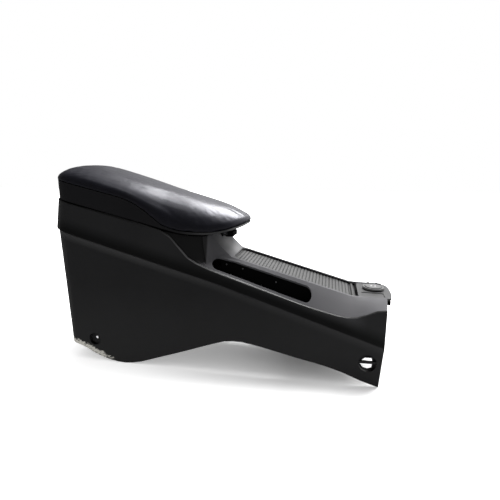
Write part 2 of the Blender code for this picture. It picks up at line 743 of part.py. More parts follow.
def slope_frame(x, drop):
    """Frame whose X runs down the cover to the front and whose Z is square to it."""
    px, pz = on_slope(x, drop)
    return Matrix.Translation((px, 0.0, pz)) @ Matrix.Rotation(COVER_SLOPE, 4, "Y")


def place(item, frame):
    item.data.transform(frame)
    return item


def cover_thickness():
    return RIB_HEIGHT + COVER_SHEET


def build_cover():
    """Ribbed sheet: half-round ribs side by side across the travel."""
    frame = slope_frame(HANDLE_FRONT_X, COVER_DROP)
    front = -HANDLE_LENGTH - RUN_GAP
    upper = []
    for rib in range(RIB_COUNT):
        start = front - rib * RIB_PITCH
        for step in range(5):
            angle = math.pi * (step + 0.5) / 5
            upper.append((start - RIB_PITCH / 2 + RIB_PITCH / 2 * math.cos(angle) * 0.94,
                          -RIB_HEIGHT + RIB_HEIGHT * math.sin(angle)))
    end = front - RIB_COUNT * RIB_PITCH
    outline = [(front, -cover_thickness()), (front, -RIB_HEIGHT)] + upper
    outline += [(end, -RIB_HEIGHT), (end, -cover_thickness())]
    curtain = loft_closed("tambour_curtain", [[(x, y, z) for x, z in outline]
                                              for y in (-COVER_HALF_WIDTH, COVER_HALF_WIDTH)])
    place(curtain, frame)
    add_part(curtain, "cover_grey", roughness=0.45)

    slat = box("tambour_handle", (-HANDLE_LENGTH, -COVER_HALF_WIDTH, -cover_thickness()),
               (0.0, COVER_HALF_WIDTH, -RIB_HEIGHT * 0.4))
    bar_middle = -HANDLE_LENGTH * 0.52
    bar = box("handle_bar", (bar_middle - HANDLE_BAR_LENGTH / 2, -HANDLE_BAR_HALF_WIDTH, -RIB_HEIGHT),
              (bar_middle + HANDLE_BAR_LENGTH / 2, HANDLE_BAR_HALF_WIDTH, HANDLE_BAR_HEIGHT),
              bevel=0.0014, segments=3)
    fuse(slat, bar)
    place(slat, frame)
    add_part(slat, "cover_grey", roughness=0.45)


def guide_path():
    """Middle line of a guide: down the slope, and turned down behind the cup well."""
    start = Vector((GUIDE_FRONT_X, ridge_line(GUIDE_FRONT_X)))
    along = Vector((-math.cos(COVER_SLOPE), math.sin(COVER_SLOPE)))
    turn_start = Vector((GUIDE_TURN_X, ridge_line(GUIDE_TURN_X)))
    normal = Vector((math.sin(COVER_SLOPE), math.cos(COVER_SLOPE)))
    stations = []
    for share in spaced(0.0, 1.0, 2):
        stations.append((start.lerp(turn_start, share), normal))
    drop = COVER_DROP + cover_thickness()
    radius = GUIDE_TURN_RADIUS
    center = turn_start - normal * (drop + radius)
    for step in range(1, 9):
        angle = (math.pi / 2 + COVER_SLOPE) * step / 8
        out = Vector((normal.x * math.cos(angle) - normal.y * math.sin(angle),
                      normal.x * math.sin(angle) + normal.y * math.cos(angle)))
        stations.append((center + out * (drop + radius), out))
    point, out = stations[-1]
    stations.append((point + Vector((0.0, -GUIDE_TAIL)), out))
    return stations, along


def build_guides():
    stations, _ = guide_path()
    web_inner = COVER_HALF_WIDTH + RUN_GAP
    web_outer = web_inner + GUIDE_WEB
    shelf_top = COVER_DROP + cover_thickness() + RUN_GAP
    shelf_bottom = shelf_top + GUIDE_SHELF
    web_top = DECK_WALL / math.cos(COVER_SLOPE) + SEAT_GAP + RUN_GAP
    section = ((web_inner, web_top), (web_outer, web_top), (web_outer, shelf_bottom),
               (web_inner - GUIDE_SHELF_REACH, shelf_bottom), (web_inner - GUIDE_SHELF_REACH, shelf_top),
               (web_inner, shelf_top))
    for side, name in ((-1, "tambour_guide_near"), (1, "tambour_guide_far")):
        rings = []
        for point, out in stations:
            rings.append([(point.x - out.x * drop, side * y, point.y - out.y * drop)
                          for y, drop in section])
        loft_closed(name, rings, "well_black")


# Cup holder well
def well_drop():
    return COVER_DROP + cover_thickness() + RUN_GAP + GUIDE_SHELF + SEAT_GAP


def slope_plane_z(x, drop):
    """Height at x of the plane a given drop below the ridge."""
    return ridge_line(x) - drop / math.cos(COVER_SLOPE)


def build_well():
    drop = well_drop()
    length = (WELL_FRONT_X - WELL_REAR_X) / math.cos(COVER_SLOPE)
    frame = slope_frame(WELL_REAR_X, drop)
    plate = box("cup_holder_well", (0.0, -WELL_HALF_WIDTH, -WELL_PLATE), (length, WELL_HALF_WIDTH, 0.0))
    place(plate, frame)
    trim = place(box("cup_trim", (-CUT_REACH, -HALF_WIDTH, -WELL_PLATE / 2), (length + CUT_REACH, HALF_WIDTH, CUP_DEPTH)), frame)
    additions = []
    bores = []
    centers = (CUP_REAR_X, CUP_REAR_X + CUP_SPACING)
    for index, x in enumerate(centers):
        rim = slope_plane_z(x, drop)
        floor = rim - CUP_DEPTH
        lift = CUP_RADIUS * math.tan(COVER_SLOPE) + 0.010
        cup = cylinder(f"cup_{index}", CUP_RADIUS + CUP_WALL, (x, 0, floor - CUP_WALL), (x, 0, rim + lift), sides=48)
        additions.append(cut(cup, trim))
        bores.append(cylinder(f"cup_bore_{index}", CUP_RADIUS, (x, 0, floor), (x, 0, rim + lift), sides=48))
    inner = WELL_HALF_WIDTH - WELL_PLATE
    for side, name in ((-1, "near"), (1, "far")):
        low, high = sorted((side * (WELL_HALF_WIDTH - RUN_GAP), side * inner))
        skirt = box(f"well_skirt_{name}", (-WELL_SKIRT_REACH, low, -WELL_SKIRT_DEPTH),
                    (length - RUN_GAP, high, -WELL_PLATE / 2))
        additions.append(place(skirt, frame))
    fuse(plate, *additions)
    cut(plate, *bores)
    add_part(plate, "well_black", roughness=0.7)

    mats = []
    for index, x in enumerate(centers):
        floor = slope_plane_z(x, drop) - CUP_DEPTH + SEAT_GAP
        mats.append(cylinder(f"mat_{index}", CUP_RADIUS - RUN_GAP, (x, 0, floor),
                             (x, 0, floor + CUP_MAT_THICKNESS)))
    add_copies("cup_mat", mats, "rubber_black", roughness=0.9)

    screws = []
    for side in (-1, 1):
        for x, below in zip(WELL_SCREW_X, WELL_SCREW_DROP):
            z = slope_plane_z(x, drop) - below
            foot = side * (WELL_HALF_WIDTH + SEAT_GAP)
            screws.append(cylinder("screw", WELL_SCREW_RADIUS, (x, foot, z),
                                   (x, foot + side * WELL_SCREW_HEAD, z), sides=10,
                                   top_radius=WELL_SCREW_RADIUS * 0.75))
    add_copies("well_screw", screws, "pin_steel", roughness=0.35, metallic=1.0)


# Front panel with the outlet and the blank
def panel_frame():
    return (Matrix.Translation((PANEL_REAR_X, 0.0, PANEL_TOP_Z)) @ Matrix.Rotation(PANEL_FALL, 4, "Y"))


def build_panel():
    half = OPENING_HALF_WIDTH - RUN_GAP
    arm = PANEL_ARM_X - PANEL_REAR_X
    tip = PANEL_TIP_X - PANEL_REAR_X
    outline = [(0.0, half), (0.0, -half), (arm, -half)]
    for step in range(1, 12):
        angle = math.pi * step / 12 - math.pi / 2
        outline.append((arm + (tip - arm) * math.cos(angle) ** 0.8, half * math.sin(angle)))
    outline.append((arm, half))
    panel = prism("front_trim_panel", outline, -PANEL_THICKNESS, 0.0)
    outlet = Vector((OUTLET_X - PANEL_REAR_X, OUTLET_Y, 0.0))
    blank = Vector((BLANK_X - PANEL_REAR_X, BLANK_Y, 0.0))
    outlet_hole = cylinder("outlet_hole_cutter", OUTLET_BARREL_RADIUS + RUN_GAP, outlet - Vector((0, 0, CUT_REACH)),
                           outlet + Vector((0, 0, CUT_REACH)), sides=40)
    half_blank = Vector((BLANK_LENGTH / 2, BLANK_WIDTH / 2, CUT_REACH))
    blank_hole = box("blank_hole_cutter", blank - half_blank, blank + half_blank)
    cut(panel, outlet_hole, blank_hole)
    frame = panel_frame()
    place(panel, frame)
    add_part(panel, "panel_grey", roughness=0.5)

    inset = Vector((RUN_GAP / 2, RUN_GAP / 2, 0.0))
    plate_low = blank - half_blank + inset
    plate_high = blank + half_blank - inset
    plate_low.z = -BLANK_RECESS - BLANK_THICKNESS
    plate_high.z = -BLANK_RECESS
    plate = box("blank_plate", plate_low, plate_high)
    add_part(place(plate, frame), "panel_grey", roughness=0.5)

    socket = cylinder("outlet_socket", OUTLET_BARREL_RADIUS, outlet - Vector((0, 0, OUTLET_BARREL_DEPTH)),
                      outlet + Vector((0, 0, OUTLET_COLLAR_HEIGHT)), sides=40)
    collar = cylinder("outlet_collar", OUTLET_COLLAR_RADIUS, outlet + Vector((0, 0, SEAT_GAP)),
                      outlet + Vector((0, 0, OUTLET_COLLAR_HEIGHT)), sides=40)
    bore = cylinder("outlet_bore", OUTLET_BARREL_RADIUS - OUTLET_BARREL_WALL,
                    outlet - Vector((0, 0, OUTLET_BARREL_DEPTH - OUTLET_BARREL_WALL)),
                    outlet + Vector((0, 0, 0.01)), sides=32)
    pin_z = OUTLET_COLLAR_HEIGHT + CAP_KNUCKLE_RADIUS
    pin_y = OUTLET_Y + CAP_RADIUS + CAP_KNUCKLE_RADIUS + RUN_GAP
    lugs = []
    for side in (-1, 1):
        near_x = outlet.x + side * (CAP_KNUCKLE_HALF_LENGTH + RUN_GAP)
        far_x = near_x + side * CAP_LUG_LENGTH
        low_x, high_x = sorted((near_x, far_x))
        lugs.append(box(f"lug_{side}", (low_x, outlet.y + OUTLET_COLLAR_RADIUS - 0.006, SEAT_GAP),
                        (high_x, pin_y + CAP_KNUCKLE_RADIUS, OUTLET_COLLAR_HEIGHT)))
        lugs.append(box(f"ear_{side}", (low_x, pin_y - CAP_KNUCKLE_RADIUS * 0.8, SEAT_GAP),
                        (high_x, pin_y + CAP_KNUCKLE_RADIUS, pin_z + CAP_KNUCKLE_RADIUS * 0.9)))
    fuse(socket, collar, *lugs)
    reach = CAP_KNUCKLE_HALF_LENGTH + RUN_GAP + CAP_LUG_LENGTH
    pin_low = Vector((outlet.x - reach, pin_y, pin_z))
    pin_high = Vector((outlet.x + reach, pin_y, pin_z))
    pin_bore = cylinder("cap_pin_bore", CAP_PIN_RADIUS + PIN_GAP, pin_low - Vector((0.01, 0, 0)),
                        pin_high + Vector((0.01, 0, 0)), sides=16)
    cut(socket, bore, pin_bore)
    add_part(place(socket, frame), "well_black", roughness=0.5)

    cap_low = outlet + Vector((0, 0, OUTLET_COLLAR_HEIGHT + SEAT_GAP))
    cap_top = cap_low + Vector((0, 0, CAP_THICKNESS))
    cap = cylinder("outlet_cap", CAP_RADIUS, cap_low, cap_top, sides=48, top_radius=CAP_RADIUS - 0.0012)
    crown = cylinder("cap_crown", CAP_CROWN_RADIUS, cap_top - Vector((0, 0, 0.0005)),
                     cap_top + Vector((0, 0, CAP_CROWN_HEIGHT)), sides=40, top_radius=CAP_CROWN_RADIUS - 0.001)
    dots = []
    for side in (-1, 1):
        middle = cap_top + Vector((side * CAP_DOT_SPACING / 2, 0, CAP_CROWN_HEIGHT - 0.0002))
        dots.append(cylinder(f"cap_dot_{side}", CAP_DOT_RADIUS, middle,
                             middle + Vector((0, 0, CAP_DOT_HEIGHT)), sides=12,
                             top_radius=CAP_DOT_RADIUS * 0.6))
    knuckle = cylinder("cap_knuckle", CAP_KNUCKLE_RADIUS * 0.92,
                       (outlet.x - CAP_KNUCKLE_HALF_LENGTH, pin_y, pin_z),
                       (outlet.x + CAP_KNUCKLE_HALF_LENGTH, pin_y, pin_z), sides=20)
    tab = box("cap_tab", (outlet.x - CAP_KNUCKLE_HALF_LENGTH, outlet.y + CAP_RADIUS - 0.004, cap_low.z),
              (outlet.x + CAP_KNUCKLE_HALF_LENGTH, pin_y, cap_low.z + CAP_THICKNESS * 0.8))
    fuse(cap, crown, knuckle, tab, *dots)
    cut(cap, pin_bore)
    add_part(place(cap, frame), "panel_grey", roughness=0.45)

    pin = cylinder("outlet_cap_pin", CAP_PIN_RADIUS, pin_low, pin_high, sides=16)
    add_part(place(pin, frame), "pin_steel", roughness=0.35, metallic=1.0)

    clips = []
    for side in (-1, 1):
        top = deck_height(CLIP_X, CLIP_Y) - DECK_WALL - SEAT_GAP * 2
        clip = box("clip", (CLIP_X - CLIP_LENGTH / 2, side * CLIP_Y - CLIP_WIDTH / 2, top - CLIP_HEIGHT),
                   (CLIP_X + CLIP_LENGTH / 2, side * CLIP_Y + CLIP_WIDTH / 2, top), bevel=0.0008)
        clips.append(clip)
    add_copies("front_clip", clips, "rubber_black", roughness=0.6)
    return frame @ Vector((outlet.x, pin_y, pin_z))


# Armrest
def arm_half_width(x, grow=0.0):
    """Half width of the armrest in plan: round rear corners and a round nose."""
    half = ARM_HALF_WIDTH + grow
    rear = ARM_REAR_X - grow
    tip = ARM_TIP_X + grow
    if x <= rear or x >= tip:
        return 0.0
    radius = ARM_CORNER_RADIUS
    if x < rear + radius:
        across = rear + radius - x
        return half - radius + math.sqrt(max(0.0, radius ** 2 - across ** 2))
    if x > ARM_NOSE_START_X:
        share = (x - ARM_NOSE_START_X) / (tip - ARM_NOSE_START_X)
        return half * math.sqrt(max(0.0, 1 - share ** 2))
    return half


def arm_stations(rear, tip):
    rear_part = [rear + (ARM_CORNER_RADIUS) * (1 - math.cos(math.pi / 2 * step / 6)) for step in range(1, 7)]
    middle = spaced(rear + ARM_CORNER_RADIUS, ARM_NOSE_START_X, 14)[1:]
    nose = [ARM_NOSE_START_X + (tip - ARM_NOSE_START_X) * math.sin(math.pi / 2 * step / 12)
            for step in range(1, 13)]
    stations = [rear + 0.0002] + rear_part + middle + nose[:-1] + [tip - 0.0002]
    return stations


def tray_stations(inset, start, front):
    """Stations of a piece inset from the armrest's outline, close together round its rear corners."""
    rear = ARM_REAR_X + inset
    corner = [rear + ARM_CORNER_RADIUS * (1 - math.cos(math.pi / 2 * step / 9)) for step in range(10)]
    even = spaced(rear + ARM_CORNER_RADIUS, front, 14)[1:]
    return [start] + [x for x in corner + even if x > start + 0.0005]


def slab_rings(stations, half, low, high):
    """Rings across the length of a slab: flat below and above, with upright sides."""
    rings = []
    for x in stations:
        w = half(x)
        rings.append([(x, -w, low(x)), (x, w, low(x)), (x, w, high(x)), (x, -w, high(x))])
    return rings


def build_armrest():
    def rim(x):
        return curve_value(ARM_RIM, x)

    def seam(x):
        return curve_value(ARM_SEAM, x)

    stations = arm_stations(ARM_REAR_X, ARM_TIP_X)
    base = loft_closed("armrest_base", slab_rings(stations, arm_half_width, rim, seam))
    pocket_stations = tray_stations(ARM_WALL, ARM_REAR_X + ARM_WALL + 0.0001, ARM_POCKET_FRONT_X)
    pocket = loft_closed("arm_pocket_cutter",
                         slab_rings(pocket_stations, lambda x: arm_half_width(x, -ARM_WALL),
                                    lambda x: rim(x) - 0.010, lambda x: seam(x) - ARM_WALL))
    notch = box("arm_notch_cutter", (ARM_REAR_X - 0.010, -HINGE_NOTCH_HALF_WIDTH, HINGE_Z - 0.010),
                (ARM_REAR_X + ARM_WALL + 0.004, HINGE_NOTCH_HALF_WIDTH, HINGE_Z + 0.0050))
    cut(base, pocket, notch)
    lugs = []
    for side in (-1, 1):
        inner = side * (LATCH_HALF_WIDTH + RUN_GAP)
        outer = inner + side * LUG_THICKNESS
        low, high = sorted((inner, outer))
        lugs.append(box(f"latch_lug_{side}", (LATCH_X - 0.0045, low, LATCH_Z - 0.0040),
                        (LATCH_X + 0.0045, high, rim(LATCH_X) + 0.0015)))
    fuse(base, *lugs)
    latch_bore = cylinder("latch_bore_cutter", LATCH_PIN_RADIUS + PIN_GAP, (LATCH_X, -0.05, LATCH_Z),
                          (LATCH_X, 0.05, LATCH_Z), sides=20)
    cut(base, latch_bore)
    add_part(base, "well_black", roughness=0.5)

    inset = ARM_WALL + RUN_GAP
    panel_stations = tray_stations(inset, ARM_REAR_X + inset + 0.0060, ARM_POCKET_FRONT_X - RUN_GAP)
    panel = loft_closed("armrest_inner_panel",
                        slab_rings(panel_stations, lambda x: arm_half_width(x, -inset),
                                   lambda x: rim(x) + INNER_PANEL_RECESS,
                                   lambda x: rim(x) + INNER_PANEL_RECESS + INNER_PANEL))
    add_part(panel, "well_black", roughness=0.7)

    pad_stations = arm_stations(ARM_REAR_X - PAD_BULGE, ARM_TIP_X + PAD_BULGE)
    rings = []
    for x in pad_stations:
        w = max(0.0005, arm_half_width(x, PAD_BULGE))
        foot = seam(x) + SEAT_GAP
        height = max(0.0008, curve_value(PAD_CROWN, x) - foot)
        ring = []
        for step in range(17):
            angle = math.pi * step / 16
            side = math.cos(angle)
            rise = math.sin(angle)
            ring.append((x, -w * math.copysign(abs(side) ** (2 / PAD_POWER), side),
                         foot + height * rise ** (2 / PAD_POWER)))
        rings.append(ring)
    pad = loft_closed("armrest_pad", rings)
    add_part(pad, "pad_black", roughness=0.6, smooth_angle=50)


def build_hinge():
    """Body leaf and lid leaf with knuckles on one pin."""
    axis = (HINGE_X, HINGE_Z)
    top_line = curve_value(BODY_TOP, REAR_X)
    wall_inner = REAR_X + curve_value(TOP_TUCK, REAR_X) + SHELL_WALL
    slack = 0.0016
    leaf_x = wall_inner + slack
    bracket = box("hinge_bracket", (leaf_x, -BODY_KNUCKLE_OUTER, top_line - BRACKET_DEPTH),
                  (leaf_x + HINGE_LEAF, BODY_KNUCKLE_OUTER, HINGE_Z - 0.0015))
    knuckles = []
    for side in (-1, 1):
        low, high = sorted((side * BODY_KNUCKLE_INNER, side * BODY_KNUCKLE_OUTER))
        knuckles.append(cylinder(f"knuckle_{side}", HINGE_KNUCKLE_RADIUS, (axis[0], low, axis[1]),
                                 (axis[0], high, axis[1]), sides=24))
        knuckles.append(box(f"bridge_{side}", (HINGE_X, low, HINGE_Z - 0.0036),
                            (leaf_x + HINGE_LEAF, high, HINGE_Z - 0.0015)))
    fuse(bracket, *knuckles)
    gap_box = box("bracket_middle_cutter", (HINGE_X - 0.010, -BODY_KNUCKLE_INNER, HINGE_Z - 0.0060),
                  (leaf_x + 0.010, BODY_KNUCKLE_INNER, HINGE_Z + 0.010))
    pin_bore = cylinder("hinge_bore_cutter", HINGE_PIN_RADIUS + PIN_GAP, (HINGE_X, -0.05, HINGE_Z),
                        (HINGE_X, 0.05, HINGE_Z), sides=24)
    cut(bracket, gap_box, pin_bore)
    add_part(bracket, "pin_steel", roughness=0.4, metallic=1.0)

    arm_half = BODY_KNUCKLE_INNER - RUN_GAP
    skirt_inner = ARM_REAR_X + ARM_WALL + SEAT_GAP * 2
    leaf_low = HINGE_Z + 0.0010
    leaf = box("lid_hinge_arm", (skirt_inner, -arm_half, leaf_low),
               (skirt_inner + HINGE_LEAF, arm_half, HINGE_Z + ARM_LEAF_HEIGHT))
    knuckle = cylinder("arm_knuckle", HINGE_KNUCKLE_RADIUS, (HINGE_X, -arm_half, HINGE_Z),
                       (HINGE_X, arm_half, HINGE_Z), sides=24)
    bridge = box("arm_bridge", (HINGE_X, -arm_half, leaf_low), (skirt_inner + HINGE_LEAF, arm_half, HINGE_Z + 0.0034))
    fuse(leaf, knuckle, bridge)
    cut(leaf, pin_bore)
    add_part(leaf, "pin_steel", roughness=0.4, metallic=1.0)

    pin = cylinder("lid_hinge_pin", HINGE_PIN_RADIUS, (HINGE_X, -BODY_KNUCKLE_OUTER, HINGE_Z),
                   (HINGE_X, BODY_KNUCKLE_OUTER, HINGE_Z), sides=24)
    add_part(pin, "pin_steel", roughness=0.3, metallic=1.0)

    body_screws = []
    for y in (-0.020, 0.020):
        x = leaf_x + HINGE_LEAF + SEAT_GAP
        z = top_line - BRACKET_DEPTH * 0.6
        body_screws.append(cylinder("screw", HINGE_SCREW_RADIUS, (x, y, z), (x + HINGE_SCREW_HEAD, y, z), sides=12))
    add_copies("bracket_screw", body_screws, "pin_steel", roughness=0.35, metallic=1.0)
    lid_screws = []
    for y in (-0.008, 0.008):
        x = skirt_inner + HINGE_LEAF + SEAT_GAP
        z = HINGE_Z + ARM_LEAF_HEIGHT * 0.65
        lid_screws.append(cylinder("screw", HINGE_SCREW_RADIUS, (x, y, z), (x + HINGE_SCREW_HEAD, y, z), sides=12))
    add_copies("arm_screw", lid_screws, "pin_steel", roughness=0.35, metallic=1.0)


def build_latch():
    paddle = box("latch_paddle", (LATCH_X, -LATCH_HALF_WIDTH, PADDLE_TOP_Z - PADDLE_THICKNESS),
                 (PADDLE_FRONT_X, LATCH_HALF_WIDTH, PADDLE_TOP_Z), bevel=0.0020, segments=3)
    scoop = box("paddle_scoop", (LATCH_X + 0.006, -0.0165, PADDLE_TOP_Z - PADDLE_THICKNESS - 0.004),
                (PADDLE_FRONT_X - 0.003, 0.0165, PADDLE_TOP_Z - 0.003), bevel=0.0015)
    cut(paddle, scoop)
    barrel_half = LATCH_HALF_WIDTH - RUN_GAP
    barrel = cylinder("latch_barrel", LATCH_BARREL_RADIUS, (LATCH_X, -barrel_half, LATCH_Z),
                      (LATCH_X, barrel_half, LATCH_Z), sides=20)
    half = HOOK_THICKNESS / 2
    foot = LATCH_Z - HOOK_DROP
    outline = ((HOOK_X - HOOK_BARB, foot), (HOOK_X + HOOK_THICKNESS, foot), (HOOK_X + HOOK_THICKNESS, LATCH_Z - half),
               (LATCH_X + half, LATCH_Z - half), (LATCH_X + half, LATCH_Z + half), (HOOK_X, LATCH_Z + half),
               (HOOK_X, foot + HOOK_THICKNESS), (HOOK_X - HOOK_BARB, foot + HOOK_THICKNESS * 0.7))
    hook = loft_closed("latch_hook", [[(x, y, z) for x, z in outline] for y in (-HOOK_HALF_WIDTH, HOOK_HALF_WIDTH)])
    fuse(paddle, barrel, hook)
    bore = cylinder("paddle_bore_cutter", LATCH_PIN_RADIUS + PIN_GAP, (LATCH_X, -0.05, LATCH_Z),
                    (LATCH_X, 0.05, LATCH_Z), sides=20)
    cut(paddle, bore)
    add_part(paddle, "rubber_black", roughness=0.5)

    reach = LATCH_HALF_WIDTH + RUN_GAP + LUG_THICKNESS
    pin = cylinder("latch_pin", LATCH_PIN_RADIUS, (LATCH_X, -reach, LATCH_Z), (LATCH_X, reach, LATCH_Z), sides=16)
    add_part(pin, "pin_steel", roughness=0.3, metallic=1.0)

    spring_x = (LATCH_X + PADDLE_FRONT_X) / 2
    low = PADDLE_TOP_Z + SEAT_GAP + SPRING_WIRE
    high = lid_underside(spring_x) - SEAT_GAP - SPRING_WIRE
    curve = bpy.data.curves.new("latch_spring", "CURVE")
    curve.dimensions = "3D"
    curve.bevel_depth = SPRING_WIRE
    curve.bevel_resolution = 1
    curve.use_fill_caps = True
    curve.render_resolution_u = 0
    line = curve.splines.new("POLY")
    count = SPRING_TURNS * 8 + 1
    line.points.add(count - 1)
    for index in range(count):
        angle = 2 * math.pi * SPRING_TURNS * index / (count - 1)
        line.points[index].co = (spring_x + SPRING_RADIUS * math.cos(angle), SPRING_RADIUS * math.sin(angle),
                                 blend(low, high, index / (count - 1)), 1.0)
    carrier = bpy.data.objects.new("spring_curve", curve)
    bpy.context.scene.collection.objects.link(carrier)
    bpy.context.view_layer.update()
    mesh = bpy.data.meshes.new_from_object(carrier.evaluated_get(bpy.context.evaluated_depsgraph_get()))
    bm = bmesh.new()
    bm.from_mesh(mesh)
    bpy.data.objects.remove(carrier, do_unlink=True)
    add_part(object_from(bm, "latch_spring"), "pin_steel", roughness=0.3, metallic=1.0)

    keeper_top = LATCH_Z - HOOK_THICKNESS / 2 - RUN_GAP
    keeper_low = LATCH_Z - HOOK_DROP - HOOK_THICKNESS / 2
    keeper_face = HOOK_X - HOOK_BARB - RUN_GAP
    keeper = box("latch_keeper", (BIN_FRONT_X + SEAT_GAP, -LATCH_HALF_WIDTH, keeper_low),
                 (keeper_face, LATCH_HALF_WIDTH, keeper_top))
    add_part(keeper, "pin_steel", roughness=0.4, metallic=1.0)


# Storage bin
def bin_top(x):
    body_line = curve_value(BODY_TOP, x) if x < -0.125 else curve_value(BODY_TOP, -0.125) * 2
    return min(body_line, lid_underside(x) - LID_GAP) - BIN_TOP_DROP


def build_bin():
    outline = []
    for x, y in rounded_outline(BIN_REAR_X, BIN_FRONT_X, BIN_HALF_WIDTH, BIN_CORNER_RADIUS):
        outline.append((x, y))
    full = []
    for index, (x, y) in enumerate(outline):
        after_x, after_y = outline[(index + 1) % len(outline)]
        full.append((x, y))
        run = math.hypot(after_x - x, after_y - y)
        pieces = max(1, round(run / 0.020))
        for step in range(1, pieces):
            full.append((blend(x, after_x, step / pieces), blend(y, after_y, step / pieces)))
    middle = ((BIN_REAR_X + BIN_FRONT_X) / 2, 0.0)

    def inside(x, y, wall):
        half_x = (BIN_FRONT_X - BIN_REAR_X) / 2
        return (middle[0] + (x - middle[0]) * (half_x - wall) / half_x, y * (BIN_HALF_WIDTH - wall) / BIN_HALF_WIDTH)

    def flange_point(x, y):
        """The flange runs out to the shell's inner face behind the cheeks."""
        if x > BIN_FLANGE_END_X:
            return x, y
        depth = BIN_TOP_DROP + BIN_FLANGE
        top = curve_value(BODY_TOP, x)
        crease = curve_value(BODY_CREASE, x)
        share = 1 - depth / (top - crease)
        inset = curve_value(TOP_TUCK, x) * share + SHELL_WALL * 1.08 + RUN_GAP + 0.0008
        reach_y = HALF_WIDTH - inset
        rear = REAR_X + inset + 0.0052
        radius = REAR_CORNER_RADIUS - inset
        straight = y / BIN_HALF_WIDTH * reach_y
        if x < BIN_REAR_X + 0.001:
            out_x = rear
            out_y = y / (BIN_HALF_WIDTH - BIN_CORNER_RADIUS) * (reach_y - radius)
            return out_x, out_y
        if x < BIN_REAR_X + BIN_CORNER_RADIUS:
            angle_x = (BIN_REAR_X + BIN_CORNER_RADIUS - x) / BIN_CORNER_RADIUS
            angle = math.asin(min(1.0, angle_x))
            side = math.copysign(1.0, y)
            return (rear + radius - radius * math.sin(angle), side * (reach_y - radius + radius * math.cos(angle)))
        return x, straight

    def ring(points, height):
        return [(x, y, height(x, y)) for x, y in points]

    flange = [flange_point(x, y) for x, y in full]
    wall = [inside(x, y, BIN_WALL) for x, y in full]
    floor = [inside(x, y, BIN_WALL) for x, y in full]
    rings = [
        ring(full, lambda x, y: BIN_FLOOR_Z),
        ring(full, lambda x, y: bin_top(x) - BIN_FLANGE),
        ring(flange, lambda x, y: bin_top(x) - BIN_FLANGE),
        ring(flange, lambda x, y: bin_top(x)),
        ring(wall, lambda x, y: bin_top(x)),
        ring(floor, lambda x, y: BIN_FLOOR_Z + BIN_WALL),
    ]
    for index, (x, y) in enumerate(full):
        if flange[index] == (x, y):
            rings[2][index] = (x, y, bin_top(x) - BIN_FLANGE * 0.6)
    storage = loft_closed("storage_bin", rings)
    add_part(storage, "well_black", roughness=0.75)

    mat_outline = [inside(x, y, BIN_WALL + RUN_GAP * 2) for x, y in outline]
    mat = prism("bin_mat", mat_outline, BIN_FLOOR_Z + BIN_WALL + SEAT_GAP,
                BIN_FLOOR_Z + BIN_WALL + SEAT_GAP + BIN_MAT_THICKNESS)
    add_part(mat, "rubber_black", roughness=0.95)

    stops = []
    for x in BUMPER_X:
        for side in (-1, 1):
            low = bin_top(x) + SEAT_GAP + BUMPER_RADIUS * 0.25
            high = lid_underside(x) + INNER_PANEL_RECESS - SEAT_GAP - BUMPER_RADIUS * 0.25
            stops.append(cylinder("stop", BUMPER_RADIUS, (x, side * BUMPER_Y, low), (x, side * BUMPER_Y, high),
                                  sides=20, top_radius=BUMPER_RADIUS * 0.8))
    add_copies("lid_bumper", stops, "rubber_black", roughness=0.9)


build_shell()
build_deck()
build_cover()
build_guides()
build_well()
cap_axis = build_panel()
build_armrest()
build_hinge()
build_latch()
build_bin()

hang_on("armrest_axis", (HINGE_X, 0.0, HINGE_Z),
        ("armrest_base", "armrest_inner_panel", "armrest_pad", "lid_hinge_arm", "arm_screw_1", "arm_screw_2",
         "latch_pin", "latch_spring"))
hang_on("latch_axis", (LATCH_X, 0.0, LATCH_Z), ("latch_paddle",))
hang_on("cap_axis", cap_axis, ("outlet_cap",))
cover_front = slope_frame(HANDLE_FRONT_X, COVER_DROP).translation
hang_on("cover_path", cover_front, ("tambour_handle", "tambour_curtain"))

print("cap hinge point", [round(value, 5) for value in cap_axis])
print("cover path from", [round(value, 5) for value in cover_front])
print("cover travel direction", round(-math.cos(COVER_SLOPE), 5), round(math.sin(COVER_SLOPE), 5))
for index in (0, 1):
    seat_x = CUP_REAR_X + CUP_SPACING * index
    seat_z = slope_plane_z(seat_x, well_drop()) - CUP_DEPTH + SEAT_GAP + CUP_MAT_THICKNESS
    print("cup seat", round(seat_x, 4), round(seat_z, 5), "rim", round(slope_plane_z(seat_x, well_drop()), 4))
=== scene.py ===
# %% [markdown]
# # A car's center console
# This file dresses a finished CAD model for a studio picture. The model already has the right size and
# shape, so the work here is what the eye reads next: the camera, the light, and above all the surfaces.
# The console is moulded plastic with a fine grain, a padded leathercloth armrest, and a ribbed cover
# that slides over two cups. Each step below says what the real piece is, how it could be made in Blender,
# and why one way was chosen.

# %% Load the CAD model
import json
import math

import bmesh
import bpy
from mathutils import Matrix, Quaternion, Vector
from mathutils.bvhtree import BVHTree


